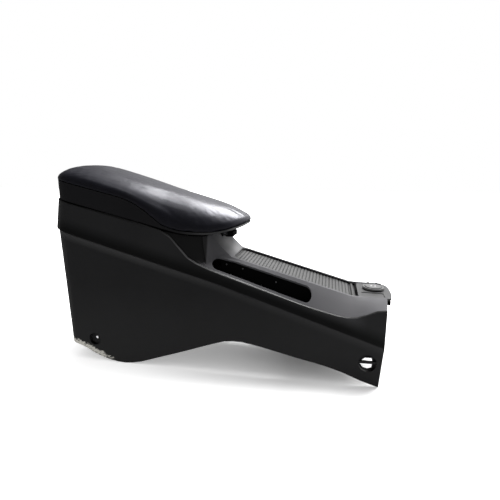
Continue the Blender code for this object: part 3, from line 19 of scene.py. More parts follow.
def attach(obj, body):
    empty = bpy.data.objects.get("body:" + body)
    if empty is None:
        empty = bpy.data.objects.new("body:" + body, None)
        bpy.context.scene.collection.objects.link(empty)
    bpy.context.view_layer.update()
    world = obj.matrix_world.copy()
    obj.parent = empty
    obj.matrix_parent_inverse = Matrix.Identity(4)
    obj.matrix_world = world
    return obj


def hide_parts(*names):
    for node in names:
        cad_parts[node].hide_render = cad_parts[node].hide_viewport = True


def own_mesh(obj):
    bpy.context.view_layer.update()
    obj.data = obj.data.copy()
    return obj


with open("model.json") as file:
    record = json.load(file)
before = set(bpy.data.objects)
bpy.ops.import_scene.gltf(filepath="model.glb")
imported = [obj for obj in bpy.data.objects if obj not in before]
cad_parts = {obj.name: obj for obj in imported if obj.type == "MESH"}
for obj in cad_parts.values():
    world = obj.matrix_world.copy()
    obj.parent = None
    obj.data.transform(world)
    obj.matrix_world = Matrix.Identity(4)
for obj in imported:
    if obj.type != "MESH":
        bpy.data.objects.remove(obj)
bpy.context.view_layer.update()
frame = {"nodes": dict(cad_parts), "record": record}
nodes = frame["nodes"]

# %% [markdown]
# ## The camera
# The photograph was taken from the console's right side, a little above the lid and turned slightly to
# the front, with a normal lens. A camera can be aimed with a constraint, or by a direction. The direction
# is used here because the shell's edges in the picture gave an angle and not a target.

# %% Camera
CAMERA_PLACE = Vector((0.221, -0.867, 0.42))
CAMERA_TURN = math.radians(10.8)
CAMERA_TILT = math.radians(11.5)
PIXELS_OF_FOCAL_LENGTH = 416
PICTURE_WIDTH = 500
SENSOR = 36.0

camera_data = bpy.data.cameras.new("photo_camera")
camera_data.sensor_width = SENSOR
camera_data.lens = PIXELS_OF_FOCAL_LENGTH / PICTURE_WIDTH * SENSOR
camera = bpy.data.objects.new("photo_camera", camera_data)
look = Vector((-math.sin(CAMERA_TURN) * math.cos(CAMERA_TILT),
               math.cos(CAMERA_TURN) * math.cos(CAMERA_TILT), -math.sin(CAMERA_TILT)))
camera.location = CAMERA_PLACE
camera.rotation_mode = "QUATERNION"
camera.rotation_quaternion = look.to_track_quat("-Z", "Y")
bpy.context.scene.collection.objects.link(camera)
bpy.context.scene.camera = camera
bpy.context.scene.view_settings.view_transform = "Standard"
print("lens:", round(camera_data.lens, 2), "mm")

# %% [markdown]
# ## A small kit for node materials
# Every finish here is a Principled shader fed by a few texture nodes. Wiring them by hand repeats the same
# two calls, so a short class holds the node tree: `add` makes a node and sets its values, `join` links two.
# All textures read object coordinates. The CAD meshes are in metres, so a scale is simply "times a metre".


# %% Material kit
class Finish:
    """A material with its Principled shader and short ways to add and join nodes."""

    def __init__(self, name, color, roughness, specular=0.5, metallic=0.0):
        self.material = bpy.data.materials.new(name)
        self.material.use_nodes = True
        self.tree = self.material.node_tree
        self.shader = self.tree.nodes["Principled BSDF"]
        self.color = (*color, 1.0)
        self.set(self.shader, {"Base Color": self.color, "Roughness": roughness,
                               "Specular IOR Level": specular, "Metallic": metallic})
        self.place = self.add("ShaderNodeTexCoord").outputs["Object"]

    def set(self, node, values):
        for socket, value in values.items():
            node.inputs[socket].default_value = value

    def add(self, kind, values=None, **settings):
        node = self.tree.nodes.new(kind)
        for key, value in settings.items():
            setattr(node, key, value)
        self.set(node, values or {})
        return node

    def join(self, source, target):
        self.tree.links.new(source, target)

    def noise(self, scale, detail=2.0, roughness=0.5, stretch=None):
        node = self.add("ShaderNodeTexNoise", {"Scale": scale, "Detail": detail, "Roughness": roughness})
        place = self.place
        if stretch:
            squeeze = self.add("ShaderNodeMapping", {"Scale": stretch})
            self.join(place, squeeze.inputs["Vector"])
            place = squeeze.outputs["Vector"]
        self.join(place, node.inputs["Vector"])
        return node.outputs["Fac"]

    def range(self, source, low, high, new_low, new_high):
        node = self.add("ShaderNodeMapRange", {"From Min": low, "From Max": high,
                                               "To Min": new_low, "To Max": new_high})
        self.join(source, node.inputs["Value"])
        return node.outputs["Result"]

    def math(self, operation, first, second, third=None):
        node = self.add("ShaderNodeMath", operation=operation)
        for socket, value in zip(node.inputs, (first, second, third)):
            if value is None:
                continue
            if isinstance(value, (int, float)):
                socket.default_value = value
            else:
                self.join(value, socket)
        return node.outputs["Value"]

    def mix(self, share, first, second):
        node = self.add("ShaderNodeMix", data_type="RGBA")
        colors = [socket for socket in node.inputs if socket.type == "RGBA"]
        for socket, value in zip([node.inputs["Factor"], *colors], (share, first, second)):
            if isinstance(value, tuple):
                socket.default_value = value
            else:
                self.join(value, socket)
        return [socket for socket in node.outputs if socket.type == "RGBA"][0]

    def bump(self, height, depth, strength=1.0, under=None):
        node = self.add("ShaderNodeBump", {"Strength": strength, "Distance": depth})
        self.join(height, node.inputs["Height"])
        if under is not None:
            self.join(under, node.inputs["Normal"])
        return node.outputs["Normal"]


def shade(color, amount):
    return tuple(channel * amount for channel in color[:3]) + (1.0,)


print("material kit ready")

# %% [markdown]
# ## Moulded plastic
# Interior plastic is moulded against an etched tool, which leaves a fine leather-like grain and a dull
# sheen. Its colour is not quite even: handling polishes some places and dust dulls others. An image of the
# grain would need unwrapping, so the grain is two noises at the real scale, one for the pebbles and one for
# the slow change of tone and gloss.


# %% Plastic finishes
def grained_plastic(name, color, roughness, specular, grain=1400.0, depth=0.00006, unevenness=0.12):
    """Moulded plastic with etched grain, slow tone changes and uneven gloss."""
    finish = Finish(name, color, roughness, specular)
    slow = finish.noise(7.0, detail=4.0)
    tone = finish.range(slow, 0.3, 0.7, 0.0, 1.0)
    varied = finish.mix(tone, shade(color, 1 - unevenness), shade(color, 1 + unevenness))
    finish.join(varied, finish.shader.inputs["Base Color"])
    patches = finish.noise(24.0, detail=3.0, roughness=0.6)
    gloss = finish.range(patches, 0.3, 0.7, roughness - 0.04, roughness + 0.05)
    finish.join(gloss, finish.shader.inputs["Roughness"])
    pebbles = finish.add("ShaderNodeTexVoronoi", {"Scale": grain, "Randomness": 1.0}, feature="SMOOTH_F1")
    finish.join(finish.place, pebbles.inputs["Vector"])
    fine = finish.bump(pebbles.outputs["Distance"], depth, strength=0.5)
    wave = finish.bump(finish.noise(16.0, detail=1.0), 0.0005, strength=0.25, under=fine)
    finish.join(wave, finish.shader.inputs["Normal"])
    finish.varied = varied
    return finish


SHELL_COLOR = (0.0120, 0.0120, 0.0128)
DECK_COLOR = (0.0480, 0.0472, 0.0512)
TRIM_COLOR = (0.014, 0.014, 0.015)
CAP_COLOR = (0.060, 0.060, 0.061)
COVER_COLOR = (0.027, 0.027, 0.027)
PULL_COLOR_AND_SHADE = (0.012, 0.012, 0.012)
LID_COLOR = (0.0055, 0.0052, 0.0066)
INNER_COLOR_AND_SHADE = (0.0020, 0.0020, 0.0021)

shell_finish = grained_plastic("shell_plastic", SHELL_COLOR, 0.46, 0.30)
deck_finish = grained_plastic("deck_plastic", DECK_COLOR, 0.66, 0.20)
trim_finish = grained_plastic("trim_plastic", TRIM_COLOR, 0.45, 0.40)
cap_finish = grained_plastic("cap_plastic", CAP_COLOR, 0.40, 0.50)
cover_finish = grained_plastic("cover_plastic", COVER_COLOR, 0.45, 0.40)
# The pull's dark colour is partly painted shade for its undercut sides.
pull_finish = grained_plastic("pull_plastic", PULL_COLOR_AND_SHADE, 0.30, 0.60)
lid_finish = grained_plastic("lid_plastic", LID_COLOR, 0.50, 0.28)
# The inner plastic's near-black colour is partly painted shade for the recesses that it lines.
inner_finish = grained_plastic("inner_plastic", INNER_COLOR_AND_SHADE, 0.75, 0.05, unevenness=0.25)
moulded = (shell_finish, deck_finish, trim_finish, cap_finish,
           cover_finish, pull_finish, lid_finish, inner_finish)
print("plastic finishes:", [item.material.name for item in moulded])

# %% [markdown]
# ## Painted light and shade on the deck
# The deck is one moulding, but it isn't one tone in the picture. Its upright cheeks beside the armrest are
# dark with painted shade, the curved neck in front of them is pale with painted light, and the deck grows
# paler towards the outlet with painted light too. A painted texture would need unwrapping, so each tone has
# a mask instead, worked out from the place of the surface and the way that it faces.

# %% Painted light and shade on the deck
CHEEK_PAINTED_SHADE = (0.0055, 0.0055, 0.0058, 1.0)
CHEEK_END_X = (-0.0185, -0.0165)
CHEEK_FACES_UP = (0.3, 0.5)
NECK_PAINTED_LIGHT = (0.210, 0.209, 0.212, 1.0)
NECK_LIGHT_Y = (0.010, 0.060)
NECK_END_X = (0.025, 0.050)
DECK_PAINTED_LIGHT = (0.085, 0.084, 0.088, 1.0)
DECK_PAINTED_LIGHT_SHARE = 0.6
DECK_PAINTED_LIGHT_X = (0.16, 0.25)
DECK_PAINTED_LIGHT_END_X = (0.270, 0.310)

deck_facing =deck_finish.add("ShaderNodeSeparateXYZ")
deck_finish.join(deck_finish.add("ShaderNodeNewGeometry").outputs["True Normal"], deck_facing.inputs["Vector"])
deck_place = deck_finish.add("ShaderNodeSeparateXYZ")
deck_finish.join(deck_finish.place, deck_place.inputs["Vector"])
deck_along = deck_place.outputs["X"]
off_middle = deck_finish.math("ABSOLUTE", deck_place.outputs["Y"], None)
upright = deck_finish.range(deck_facing.outputs["Z"], *CHEEK_FACES_UP, 1.0, 0.0)
cheek_painted_shade_mask = deck_finish.math("MULTIPLY", upright, deck_finish.range(deck_along, *CHEEK_END_X, 1.0, 0.0))
neck_painted_light_mask = deck_finish.math("MULTIPLY", deck_finish.range(off_middle, *NECK_LIGHT_Y, 1.0, 0.0),
                        deck_finish.range(deck_along, *NECK_END_X, 1.0, 0.0))
deck_painted_light_mask = deck_finish.math("MULTIPLY", deck_finish.range(deck_along, *DECK_PAINTED_LIGHT_X, 0.0, DECK_PAINTED_LIGHT_SHARE),
                        deck_finish.range(deck_along, *DECK_PAINTED_LIGHT_END_X, 1.0, 0.0))
# painted light towards the outlet, painted light on the neck, painted shade on the upright cheeks
deck_with_painted_light_and_shade = deck_finish.mix(deck_painted_light_mask, deck_finish.varied, DECK_PAINTED_LIGHT)
deck_with_painted_light_and_shade = deck_finish.mix(neck_painted_light_mask, deck_with_painted_light_and_shade, NECK_PAINTED_LIGHT)
deck_with_painted_light_and_shade = deck_finish.mix(cheek_painted_shade_mask, deck_with_painted_light_and_shade, CHEEK_PAINTED_SHADE)
deck_finish.join(deck_with_painted_light_and_shade, deck_finish.shader.inputs["Base Color"])
print("dark cheeks end at x", CHEEK_END_X[1])

# %% [markdown]
# ## The outlet's cap
# The round cap has a dark ring near its edge and two small pale dots. The ring is painted shade in a groove
# near the edge, and the dots are painted highlights. Both are found by distance, from the cap's middle for
# the ring and from a dot's middle for the dots, so they need no picture and stay sharp.

# %% Outlet cap
CAP_CENTER = (0.318, 0.012)
CAP_DOT_OFFSET = 0.004
CAP_DOT_EDGE = (0.00144, 0.00176)
CAP_DOT_PAINTED_HIGHLIGHT = (0.70, 0.70, 0.69, 1.0)
CAP_RING_INNER = (0.0158, 0.0164)
CAP_RING_OUTER = (0.0180, 0.0186)
CAP_RING_PAINTED_SHADE = (0.004, 0.004, 0.004, 1.0)

cap_place =cap_finish.add("ShaderNodeSeparateXYZ")
cap_finish.join(cap_finish.place, cap_place.inputs["Vector"])
cap_x = cap_finish.math("ABSOLUTE", cap_finish.math("SUBTRACT", cap_place.outputs["X"], CAP_CENTER[0]), None)
cap_y = cap_finish.math("SUBTRACT", cap_place.outputs["Y"], CAP_CENTER[1])
dot_x = cap_finish.math("SUBTRACT", cap_x, CAP_DOT_OFFSET)
cap_y_squared = cap_finish.math("MULTIPLY", cap_y, cap_y)
from_dot = cap_finish.math("SQRT", cap_finish.math("MULTIPLY_ADD", dot_x, dot_x, cap_y_squared), None)
from_center = cap_finish.math("SQRT", cap_finish.math("MULTIPLY_ADD", cap_x, cap_x, cap_y_squared), None)
dot_painted_highlight_mask = cap_finish.range(from_dot, *CAP_DOT_EDGE, 1.0, 0.0)
ring_painted_shade_mask = cap_finish.math("MULTIPLY", cap_finish.range(from_center, *CAP_RING_INNER, 0.0, 1.0),
                       cap_finish.range(from_center, *CAP_RING_OUTER, 1.0, 0.0))
# painted shade for the ring, then painted highlights for the dots
cap_with_painted_shade = cap_finish.mix(ring_painted_shade_mask, cap_finish.varied, CAP_RING_PAINTED_SHADE)
cap_finish.join(cap_finish.mix(dot_painted_highlight_mask, cap_with_painted_shade, CAP_DOT_PAINTED_HIGHLIGHT), cap_finish.shader.inputs["Base Color"])
print("cap dots are", CAP_DOT_OFFSET * 2000, "mm apart")

# %% [markdown]
# ## The lid's lip
# The hard skirt under the pad ends at the front in a lip that catches the light, and its paler tone is
# painted light, paler still at the front end. Only faces that look outward get the painted light, or the
# lid's underside would be pale too. Their direction is read in the lid's own space, so that the mask turns
# with the lid.

# %% Lid lip
LIP_FACES = (0.30, 0.45)
LIP_X = (-0.070, -0.020)
LIP_PAINTED_LIGHT = (0.030, 0.030, 0.031, 1.0)
LIP_END_X = (0.020, 0.045)
LIP_END_PAINTED_LIGHT = (0.150, 0.150, 0.150, 1.0)

lid_place =lid_finish.add("ShaderNodeSeparateXYZ")
lid_finish.join(lid_finish.place, lid_place.inputs["Vector"])
own_normal = lid_finish.add("ShaderNodeVectorTransform", vector_type="NORMAL", convert_from="WORLD",
                            convert_to="OBJECT")
lid_finish.join(lid_finish.add("ShaderNodeNewGeometry").outputs["True Normal"], own_normal.inputs["Vector"])
lid_facing = lid_finish.add("ShaderNodeSeparateXYZ")
lid_finish.join(own_normal.outputs["Vector"], lid_facing.inputs["Vector"])
tilt = lid_finish.math("ABSOLUTE", lid_facing.outputs["Z"], None)
outward = lid_finish.range(tilt, *LIP_FACES, 1.0, 0.0)
lip = lid_finish.math("MULTIPLY", outward, lid_finish.range(lid_place.outputs["X"], *LIP_X, 0.0, 1.0))
lip_end_painted_light_mask = lid_finish.math("MULTIPLY", outward, lid_finish.range(lid_place.outputs["X"], *LIP_END_X, 0.0, 1.0))
# painted light on the lip, paler at its front end
lid_with_painted_light = lid_finish.mix(lip_end_painted_light_mask, lid_finish.mix(lip, lid_finish.varied, LIP_PAINTED_LIGHT), LIP_END_PAINTED_LIGHT)
lid_finish.join(lid_with_painted_light, lid_finish.shader.inputs["Base Color"])
print("lip starts at x", LIP_X[0])

# %% [markdown]
# ## Wear on the lower rear edge
# The shell's lower rear edge is worn, in a pale and broken band about a centimetre and a half high. It could
# be painted on a texture. Here the band is worked out from the height above the edge's own line, and a noise
# stretched along the edge breaks it into scratches, so that no unwrapping is needed.

# %% Scuffs
REAR_EDGE = (-0.312, 0.0330, -0.08)
LOWER_EDGE = (-0.312, 0.0330, -0.41)
SCUFF_DENSE_X = -0.262
SCUFF_END_X = -0.222
SCUFF_FADE = 0.02
SCUFF_HEIGHT = 0.0155
SCUFF_FULL_SHARE = 0.55
SCUFF_FRONT_SHARE = 0.25
SCUFF_SPREAD = 0.24
SCUFF_RARITY = -0.62
SCUFF_SOFTNESS = 0.08
SCUFF_START = 0.15
SCUFF_COLOR = (0.72, 0.70, 0.64, 1.0)

split = shell_finish.add("ShaderNodeSeparateXYZ")
shell_finish.join(shell_finish.place, split.inputs["Vector"])
along, height = split.outputs["X"], split.outputs["Z"]


def edge_line(start_x, start_z, fall):
    """Height of a straight line in side view, at each place along the shell."""
    return shell_finish.math("MULTIPLY_ADD", shell_finish.math("SUBTRACT", along, start_x), fall, start_z)


edge = shell_finish.math("MINIMUM", edge_line(*REAR_EDGE), edge_line(*LOWER_EDGE))
above_edge = shell_finish.math("SUBTRACT", height, edge)
near_edge = shell_finish.range(above_edge, SCUFF_HEIGHT * SCUFF_FULL_SHARE, SCUFF_HEIGHT, 1.0, 0.0)
near_rear = shell_finish.range(along, SCUFF_DENSE_X, SCUFF_END_X, 1.0, SCUFF_FRONT_SHARE)
before_end = shell_finish.range(along, SCUFF_END_X, SCUFF_END_X + SCUFF_FADE, 1.0, 0.0)
scratches = shell_finish.noise(150.0, detail=6.0, roughness=0.75, stretch=(0.8, 1.0, 2.0))
rubbed = shell_finish.math("MULTIPLY", shell_finish.math("MULTIPLY", near_edge, near_rear), before_end)
bare = shell_finish.math("MULTIPLY_ADD", rubbed, SCUFF_SPREAD, SCUFF_RARITY)
broken = shell_finish.range(shell_finish.math("ADD", scratches, bare), 0.0, SCUFF_SOFTNESS, 0.0, 1.0)
scuffed = shell_finish.math("MULTIPLY", broken, shell_finish.range(rubbed, 0.0, SCUFF_START, 0.0, 1.0))
print("scuffs end at x", SCUFF_END_X)

# %% [markdown]
# ## Painted highlight and shade on the shell's top edge
# The shell's rounded top edge shows as a thin light line along the slot, which is a painted highlight, and
# under the armrest the gap over it is dark with painted shade. The edge runs in a curve, so a Float Curve node
# gives its height at each place along the shell, and the line is what lies just below that height.

# %% Shell top edge
BLACK = (0.0, 0.0, 0.0, 1.0)
RIM_OPEN_X = (-0.110, -0.060)
SLIT_SHADE_WIDTH = (0.0008, 0.0020)
TOP_LINE = ((-0.352, 0.3550), (-0.119, 0.2968), (-0.104, 0.2915), (-0.090, 0.2830), (-0.070, 0.2600),
            (-0.054, 0.2420), (-0.036, 0.2310), (-0.006, 0.2185), (0.050, 0.1995), (0.121, 0.1755),
            (0.180, 0.1560), (0.215, 0.1465), (0.248, 0.1385), (0.266, 0.1365), (0.300, 0.1445),
            (0.335, 0.1550))
TOP_SPAN_X = TOP_LINE[-1][0] - TOP_LINE[0][0]
TOP_LOW_Z = 0.13
TOP_SPAN_Z = 0.24
LINE_WIDTH = (0.0020, 0.0042)
LINE_FADE_X = (0.02, 0.17)
LINE_PAINTED_HIGHLIGHT = (0.130, 0.130, 0.132, 1.0)

top_curve = shell_finish.add("ShaderNodeFloatCurve")
line = top_curve.mapping.curves[0]
for index, (x, z) in enumerate(TOP_LINE):
    share_x, share_z = (x - TOP_LINE[0][0]) / TOP_SPAN_X, (z - TOP_LOW_Z) / TOP_SPAN_Z
    if index in (0, len(TOP_LINE) - 1):
        point = line.points[0 if index == 0 else -1]
        point.location = (share_x, share_z)
    else:
        point = line.points.new(share_x, share_z)
    point.handle_type = "VECTOR"
top_curve.mapping.update()
share_along = shell_finish.range(along, TOP_LINE[0][0], TOP_LINE[-1][0], 0.0, 1.0)
shell_finish.join(share_along, top_curve.inputs["Value"])
top_height = shell_finish.math("MULTIPLY_ADD", top_curve.outputs["Value"], TOP_SPAN_Z, TOP_LOW_Z)
below_top = shell_finish.math("SUBTRACT", top_height, height)
# painted highlight along the rounded top edge beside the slot
top_edge_painted_highlight_mask = shell_finish.math("MULTIPLY", shell_finish.range(below_top, *LINE_WIDTH, 1.0, 0.0),
                               shell_finish.range(along, *RIM_OPEN_X, 0.0, 1.0))
top_edge_painted_highlight_mask = shell_finish.math("MULTIPLY", top_edge_painted_highlight_mask, shell_finish.range(along, *LINE_FADE_X, 1.0, 0.0))
# painted shade in the slit under the armrest
slit_painted_shade_mask = shell_finish.math("MULTIPLY", shell_finish.range(below_top, *SLIT_SHADE_WIDTH, 1.0, 0.0),
                              shell_finish.range(along, *RIM_OPEN_X, 1.0, 0.0))
print("points on the top line:", len(TOP_LINE))

# %% [markdown]
# ## Painted light and shade at the crease, the shoulder and the foot
# A crease runs down the side of the shell. In the picture the plastic is dark just over it and paler just
# under it, the shoulder grows paler towards the slot's front end, and the foot is a little paler too. The
# lamps alone didn't give these tones here, so they are painted: painted shade over the crease, and painted
# light under it, on the shoulder and on the foot, as masks measured from the crease's own line.

# %% Crease, shoulder and foot
CREASE_REAR = (-0.352, 0.2940, -0.2857)
CREASE_FRONT = (0.002, 0.1930, -0.3380)
CREASE_EDGE = (0.0005, 0.0025)
CREASE_FADE = (0.003, 0.019)
CREASE_FRONT_X = (-0.15, 0.05)
CREASE_FRONT_SHARE = 0.45
CREASE_PAINTED_LIGHT = (0.042, 0.042, 0.043, 1.0)
SHOULDER_RISE = (0.010, 0.032)
SHOULDER_POWER = 1.6
SHOULDER_START_X = (0.06, 0.20)
SHOULDER_END_X = (0.27, 0.30)
SHOULDER_END_SHARE = 0.1
SHOULDER_PAINTED_LIGHT = (0.034, 0.034, 0.036, 1.0)
TUCK_EDGE = (-0.0005, 0.0005)
TUCK_FADE = (0.008, 0.030)
TUCK_SHARE = 0.85
FOOT_Z = (0.02, 0.17)
FOOT_X = (-0.20, 0.10)
FOOT_FRONT_SHARE = 0.3
FOOT_PAINTED_LIGHT = (0.026, 0.026, 0.0265, 1.0)

crease = shell_finish.math("MINIMUM", edge_line(*CREASE_REAR), edge_line(*CREASE_FRONT))
under_crease = shell_finish.math("SUBTRACT", crease, height)
over_crease = shell_finish.math("SUBTRACT", height, crease)
under_crease_painted_light_mask = shell_finish.math("MULTIPLY", shell_finish.range(under_crease, *CREASE_EDGE, 0.0, 1.0),
                               shell_finish.range(under_crease, *CREASE_FADE, 1.0, 0.0))
under_crease_painted_light_mask = shell_finish.math("MULTIPLY", under_crease_painted_light_mask,
                               shell_finish.range(along, *CREASE_FRONT_X, 1.0, CREASE_FRONT_SHARE))
risen = shell_finish.range(over_crease, *SHOULDER_RISE, 0.0, 1.0)
shoulder_painted_light_mask = shell_finish.math("MULTIPLY", shell_finish.math("POWER", risen, SHOULDER_POWER),
                                  shell_finish.range(along, *SHOULDER_START_X, 0.0, 1.0))
shoulder_painted_light_mask = shell_finish.math("MULTIPLY", shoulder_painted_light_mask,
                                  shell_finish.range(along, *SHOULDER_END_X, 1.0, SHOULDER_END_SHARE))
over_crease_painted_shade_mask = shell_finish.math("MULTIPLY", shell_finish.range(over_crease, *TUCK_EDGE, 0.0, 1.0),
                           shell_finish.range(over_crease, *TUCK_FADE, TUCK_SHARE, 0.0))
foot_painted_light_mask = shell_finish.math("MULTIPLY", shell_finish.range(height, *FOOT_Z, 1.0, 0.0),
                         shell_finish.range(along, *FOOT_X, 1.0, FOOT_FRONT_SHARE))
# painted light on the foot, painted shade over the crease, painted light under it and on the shoulder, then
# the top edge's painted highlight and the slit's painted shade
shell_with_painted_foot_light = shell_finish.mix(foot_painted_light_mask, shell_finish.varied, FOOT_PAINTED_LIGHT)
shell_with_painted_light_and_shade = shell_finish.mix(over_crease_painted_shade_mask, shell_with_painted_foot_light, BLACK)
shell_with_painted_light_and_shade = shell_finish.mix(under_crease_painted_light_mask, shell_with_painted_light_and_shade, CREASE_PAINTED_LIGHT)
shell_with_painted_light_and_shade = shell_finish.mix(shoulder_painted_light_mask, shell_with_painted_light_and_shade, SHOULDER_PAINTED_LIGHT)
shell_with_painted_light_and_shade = shell_finish.mix(top_edge_painted_highlight_mask, shell_with_painted_light_and_shade, LINE_PAINTED_HIGHLIGHT)
shell_with_painted_light_and_shade = shell_finish.mix(slit_painted_shade_mask, shell_with_painted_light_and_shade, BLACK)
print("crease bends at x", CREASE_FRONT[0])

# %% [markdown]
# ## Painted light and shade on the rim and the rear corner
# The rim's faces that look up are a little paler than the shell beside the slot's rear end, as painted light,
# nearly black towards the front, as painted shade, and black under the armrest, as painted shade in the gap.
# The corner that turns to the rear is paler, as painted light. These masks go by the way a face looks, since
# the faces are narrow and their places change along the shell. The wear goes on after the corner's painted
# light, so that it stays on top.

# %% Rim and rear corner
RIM_PAINTED_LIGHT = (0.020, 0.020, 0.021, 1.0)
RIM_FRONT_PAINTED_SHADE = (0.001, 0.001, 0.001, 1.0)
RIM_FACES_UP = (0.35, 0.60)
CORNER_FACES_REAR = (-0.85, -0.30)
CORNER_PAINTED_LIGHT = (0.045, 0.045, 0.043, 1.0)

facing =shell_finish.add("ShaderNodeSeparateXYZ")
geometry = shell_finish.add("ShaderNodeNewGeometry")
shell_finish.join(geometry.outputs["True Normal"], facing.inputs["Vector"])
faces_up = shell_finish.range(facing.outputs["Z"], *RIM_FACES_UP, 0.0, 1.0)
open_rim = shell_finish.range(along, *RIM_OPEN_X, 0.0, 1.0)
rim_painted_light_mask = shell_finish.math("MULTIPLY", faces_up, open_rim)
gap_painted_shade_mask = shell_finish.math("MULTIPLY", faces_up, shell_finish.math("SUBTRACT", 1.0, open_rim))
faces_rear = shell_finish.range(facing.outputs["X"], *CORNER_FACES_REAR, 1.0, 0.0)
# painted light on the rear corner; the real wear goes over it
shell_with_painted_corner_light = shell_finish.mix(faces_rear, shell_with_painted_light_and_shade, CORNER_PAINTED_LIGHT)
wear_over_painted_light = shell_finish.mix(scuffed, shell_with_painted_corner_light, SCUFF_COLOR)
# painted light on the open rim's upward faces, fading to painted shade at the front, and painted shade on the
# rim under the armrest
rim_painted_light_tone = shell_finish.mix(shell_finish.range(along, *LINE_FADE_X, 0.0, 1.0), RIM_PAINTED_LIGHT, RIM_FRONT_PAINTED_SHADE)
shell_with_painted_rim_light = shell_finish.mix(rim_painted_light_mask, wear_over_painted_light, rim_painted_light_tone)
shell_with_painted_gap_shade = shell_finish.mix(gap_painted_shade_mask, shell_with_painted_rim_light, BLACK)
shell_finish.join(shell_with_painted_gap_shade, shell_finish.shader.inputs["Base Color"])
print("shell material nodes:", len(shell_finish.tree.nodes))

# %% [markdown]
# ## Leathercloth, rubber and steel
# The armrest is covered in black leathercloth: small flat cells parted by fine creases, with a soft sheen
# and a faint blue cast. Voronoi cells give the grain, and the distance to a cell's edge gives the creases.
# Rubber is dull and even. The pins and screws are plain steel with a brushed roughness.

# %% Leathercloth, rubber and steel
LEATHER_COLOR = (0.0020, 0.0020, 0.0048)
LEATHER_SHINE = (0.90, 0.90, 1.0, 1.0)


def leathercloth():
    finish = Finish("leathercloth", LEATHER_COLOR, 0.38, 0.45)
    finish.set(finish.shader, {"Coat Weight": 0.10, "Coat Roughness": 0.30, "Specular Tint": LEATHER_SHINE})
    warp = finish.noise(300.0, detail=2.0)
    cells = finish.add("ShaderNodeTexVoronoi", {"Scale": 750.0, "Randomness": 0.9}, feature="DISTANCE_TO_EDGE")
    shifted = finish.add("ShaderNodeVectorMath", operation="MULTIPLY_ADD")
    finish.join(warp, shifted.inputs[0])
    shifted.inputs[1].default_value = (0.0006, 0.0006, 0.0006)
    finish.join(finish.place, shifted.inputs[2])
    finish.join(shifted.outputs["Vector"], cells.inputs["Vector"])
    creases = finish.range(cells.outputs["Distance"], 0.0, 0.12, 0.0, 1.0)
    slow = finish.noise(18.0, detail=4.0)
    share = finish.range(slow, 0.3, 0.7, 0.0, 1.0)
    tone = finish.mix(share, shade(LEATHER_COLOR, 0.8), shade(LEATHER_COLOR, 1.25))
    finish.join(tone, finish.shader.inputs["Base Color"])
    gloss = finish.range(finish.noise(60.0, detail=4.0, roughness=0.65), 0.30, 0.70, 0.33, 0.45)
    finish.join(gloss, finish.shader.inputs["Roughness"])
    grain = finish.bump(creases, 0.00005, strength=0.35)
    soft = finish.bump(finish.noise(36.0, detail=3.0), 0.0008, strength=0.25, under=grain)
    finish.join(soft, finish.shader.inputs["Normal"])
    return finish


def rubber():
    finish = Finish("rubber", (0.010, 0.010, 0.010), 0.75, 0.25)
    dust = finish.range(finish.noise(80.0, detail=5.0), 0.35, 0.7, 0.0, 1.0)
    finish.join(finish.mix(dust, (0.008, 0.008, 0.008, 1.0), (0.016, 0.016, 0.016, 1.0)),
                finish.shader.inputs["Base Color"])
    finish.join(finish.bump(finish.noise(900.0), 0.00004, strength=0.4), finish.shader.inputs["Normal"])
    return finish


def steel():
    finish = Finish("steel", (0.22, 0.22, 0.23), 0.35, metallic=1.0)
    brushed = finish.noise(400.0, detail=3.0, stretch=(1.0, 8.0, 1.0))
    finish.join(finish.range(brushed, 0.3, 0.7, 0.28, 0.45), finish.shader.inputs["Roughness"])
    return finish


leather_finish = leathercloth()
rubber_finish = rubber()
steel_finish = steel()
print("soft and metal finishes ready")

# %% [markdown]
# ## Dressing the CAD pieces
# The model arrives as flat triangles that share no corners. A Weld modifier joins them, an Edge Split at 32
# degrees keeps the true edges crisp, and Weighted Normal lets the large flat faces stay flat. Modifiers are
# used instead of editing, so the CAD mesh itself stays untouched. Each record slot then gets its finish.

# %% Smooth and dress the CAD pieces
SHARP_ANGLE = math.radians(32)
FINISH_OF_SLOT = {
    "shell": shell_finish, "deck": deck_finish, "trim": trim_finish, "cover": cover_finish,
    "inner_plastic": inner_finish, "armrest_plastic": lid_finish, "leathercloth": leather_finish,
    "rubber": rubber_finish, "steel": steel_finish,
}
slot_of_node = {row["node"]: row["material_slot"] for row in frame["record"]["subparts"]}


def smooth_cad(piece):
    mesh = piece.data
    if mesh.has_custom_normals:
        mesh.attributes.remove(mesh.attributes["custom_normal"])
    mesh.shade_smooth()
    weld = piece.modifiers.new("weld", "WELD")
    weld.merge_threshold = 0.00001
    edges = piece.modifiers.new("edges", "EDGE_SPLIT")
    edges.split_angle = SHARP_ANGLE
    piece.modifiers.new("flats", "WEIGHTED_NORMAL")


def dress(piece, finish):
    piece.data.materials.clear()
    piece.data.materials.append(finish.material)


for name, piece in nodes.items():
    smooth_cad(piece)
    dress(piece, FINISH_OF_SLOT[slot_of_node[name]])
dress(nodes["tambour_handle"], pull_finish)
dress(nodes["outlet_cap"], cap_finish)
print("dressed", len(nodes), "CAD pieces")

# %% [markdown]
# ## The padded armrest
# Under the leathercloth is moulded foam, so the pad is taut, with a crowned top and an edge that rolls in
# where it meets the hard skirt. A plain solid looks like painted wood. The CAD pad is remeshed into small
# even faces and blown up slightly with Blender's cloth solver while its lower edge is held, which rounds it
# the way foam under tension does. Each point may move only a little, so the pad keeps the CAD pad's shape.

# %% Armrest pad
VOXEL = 0.0035
PAD_RISE = 0.0016
HELD_NEAR_BASE = 0.006
CLOTH_FRAMES = 14


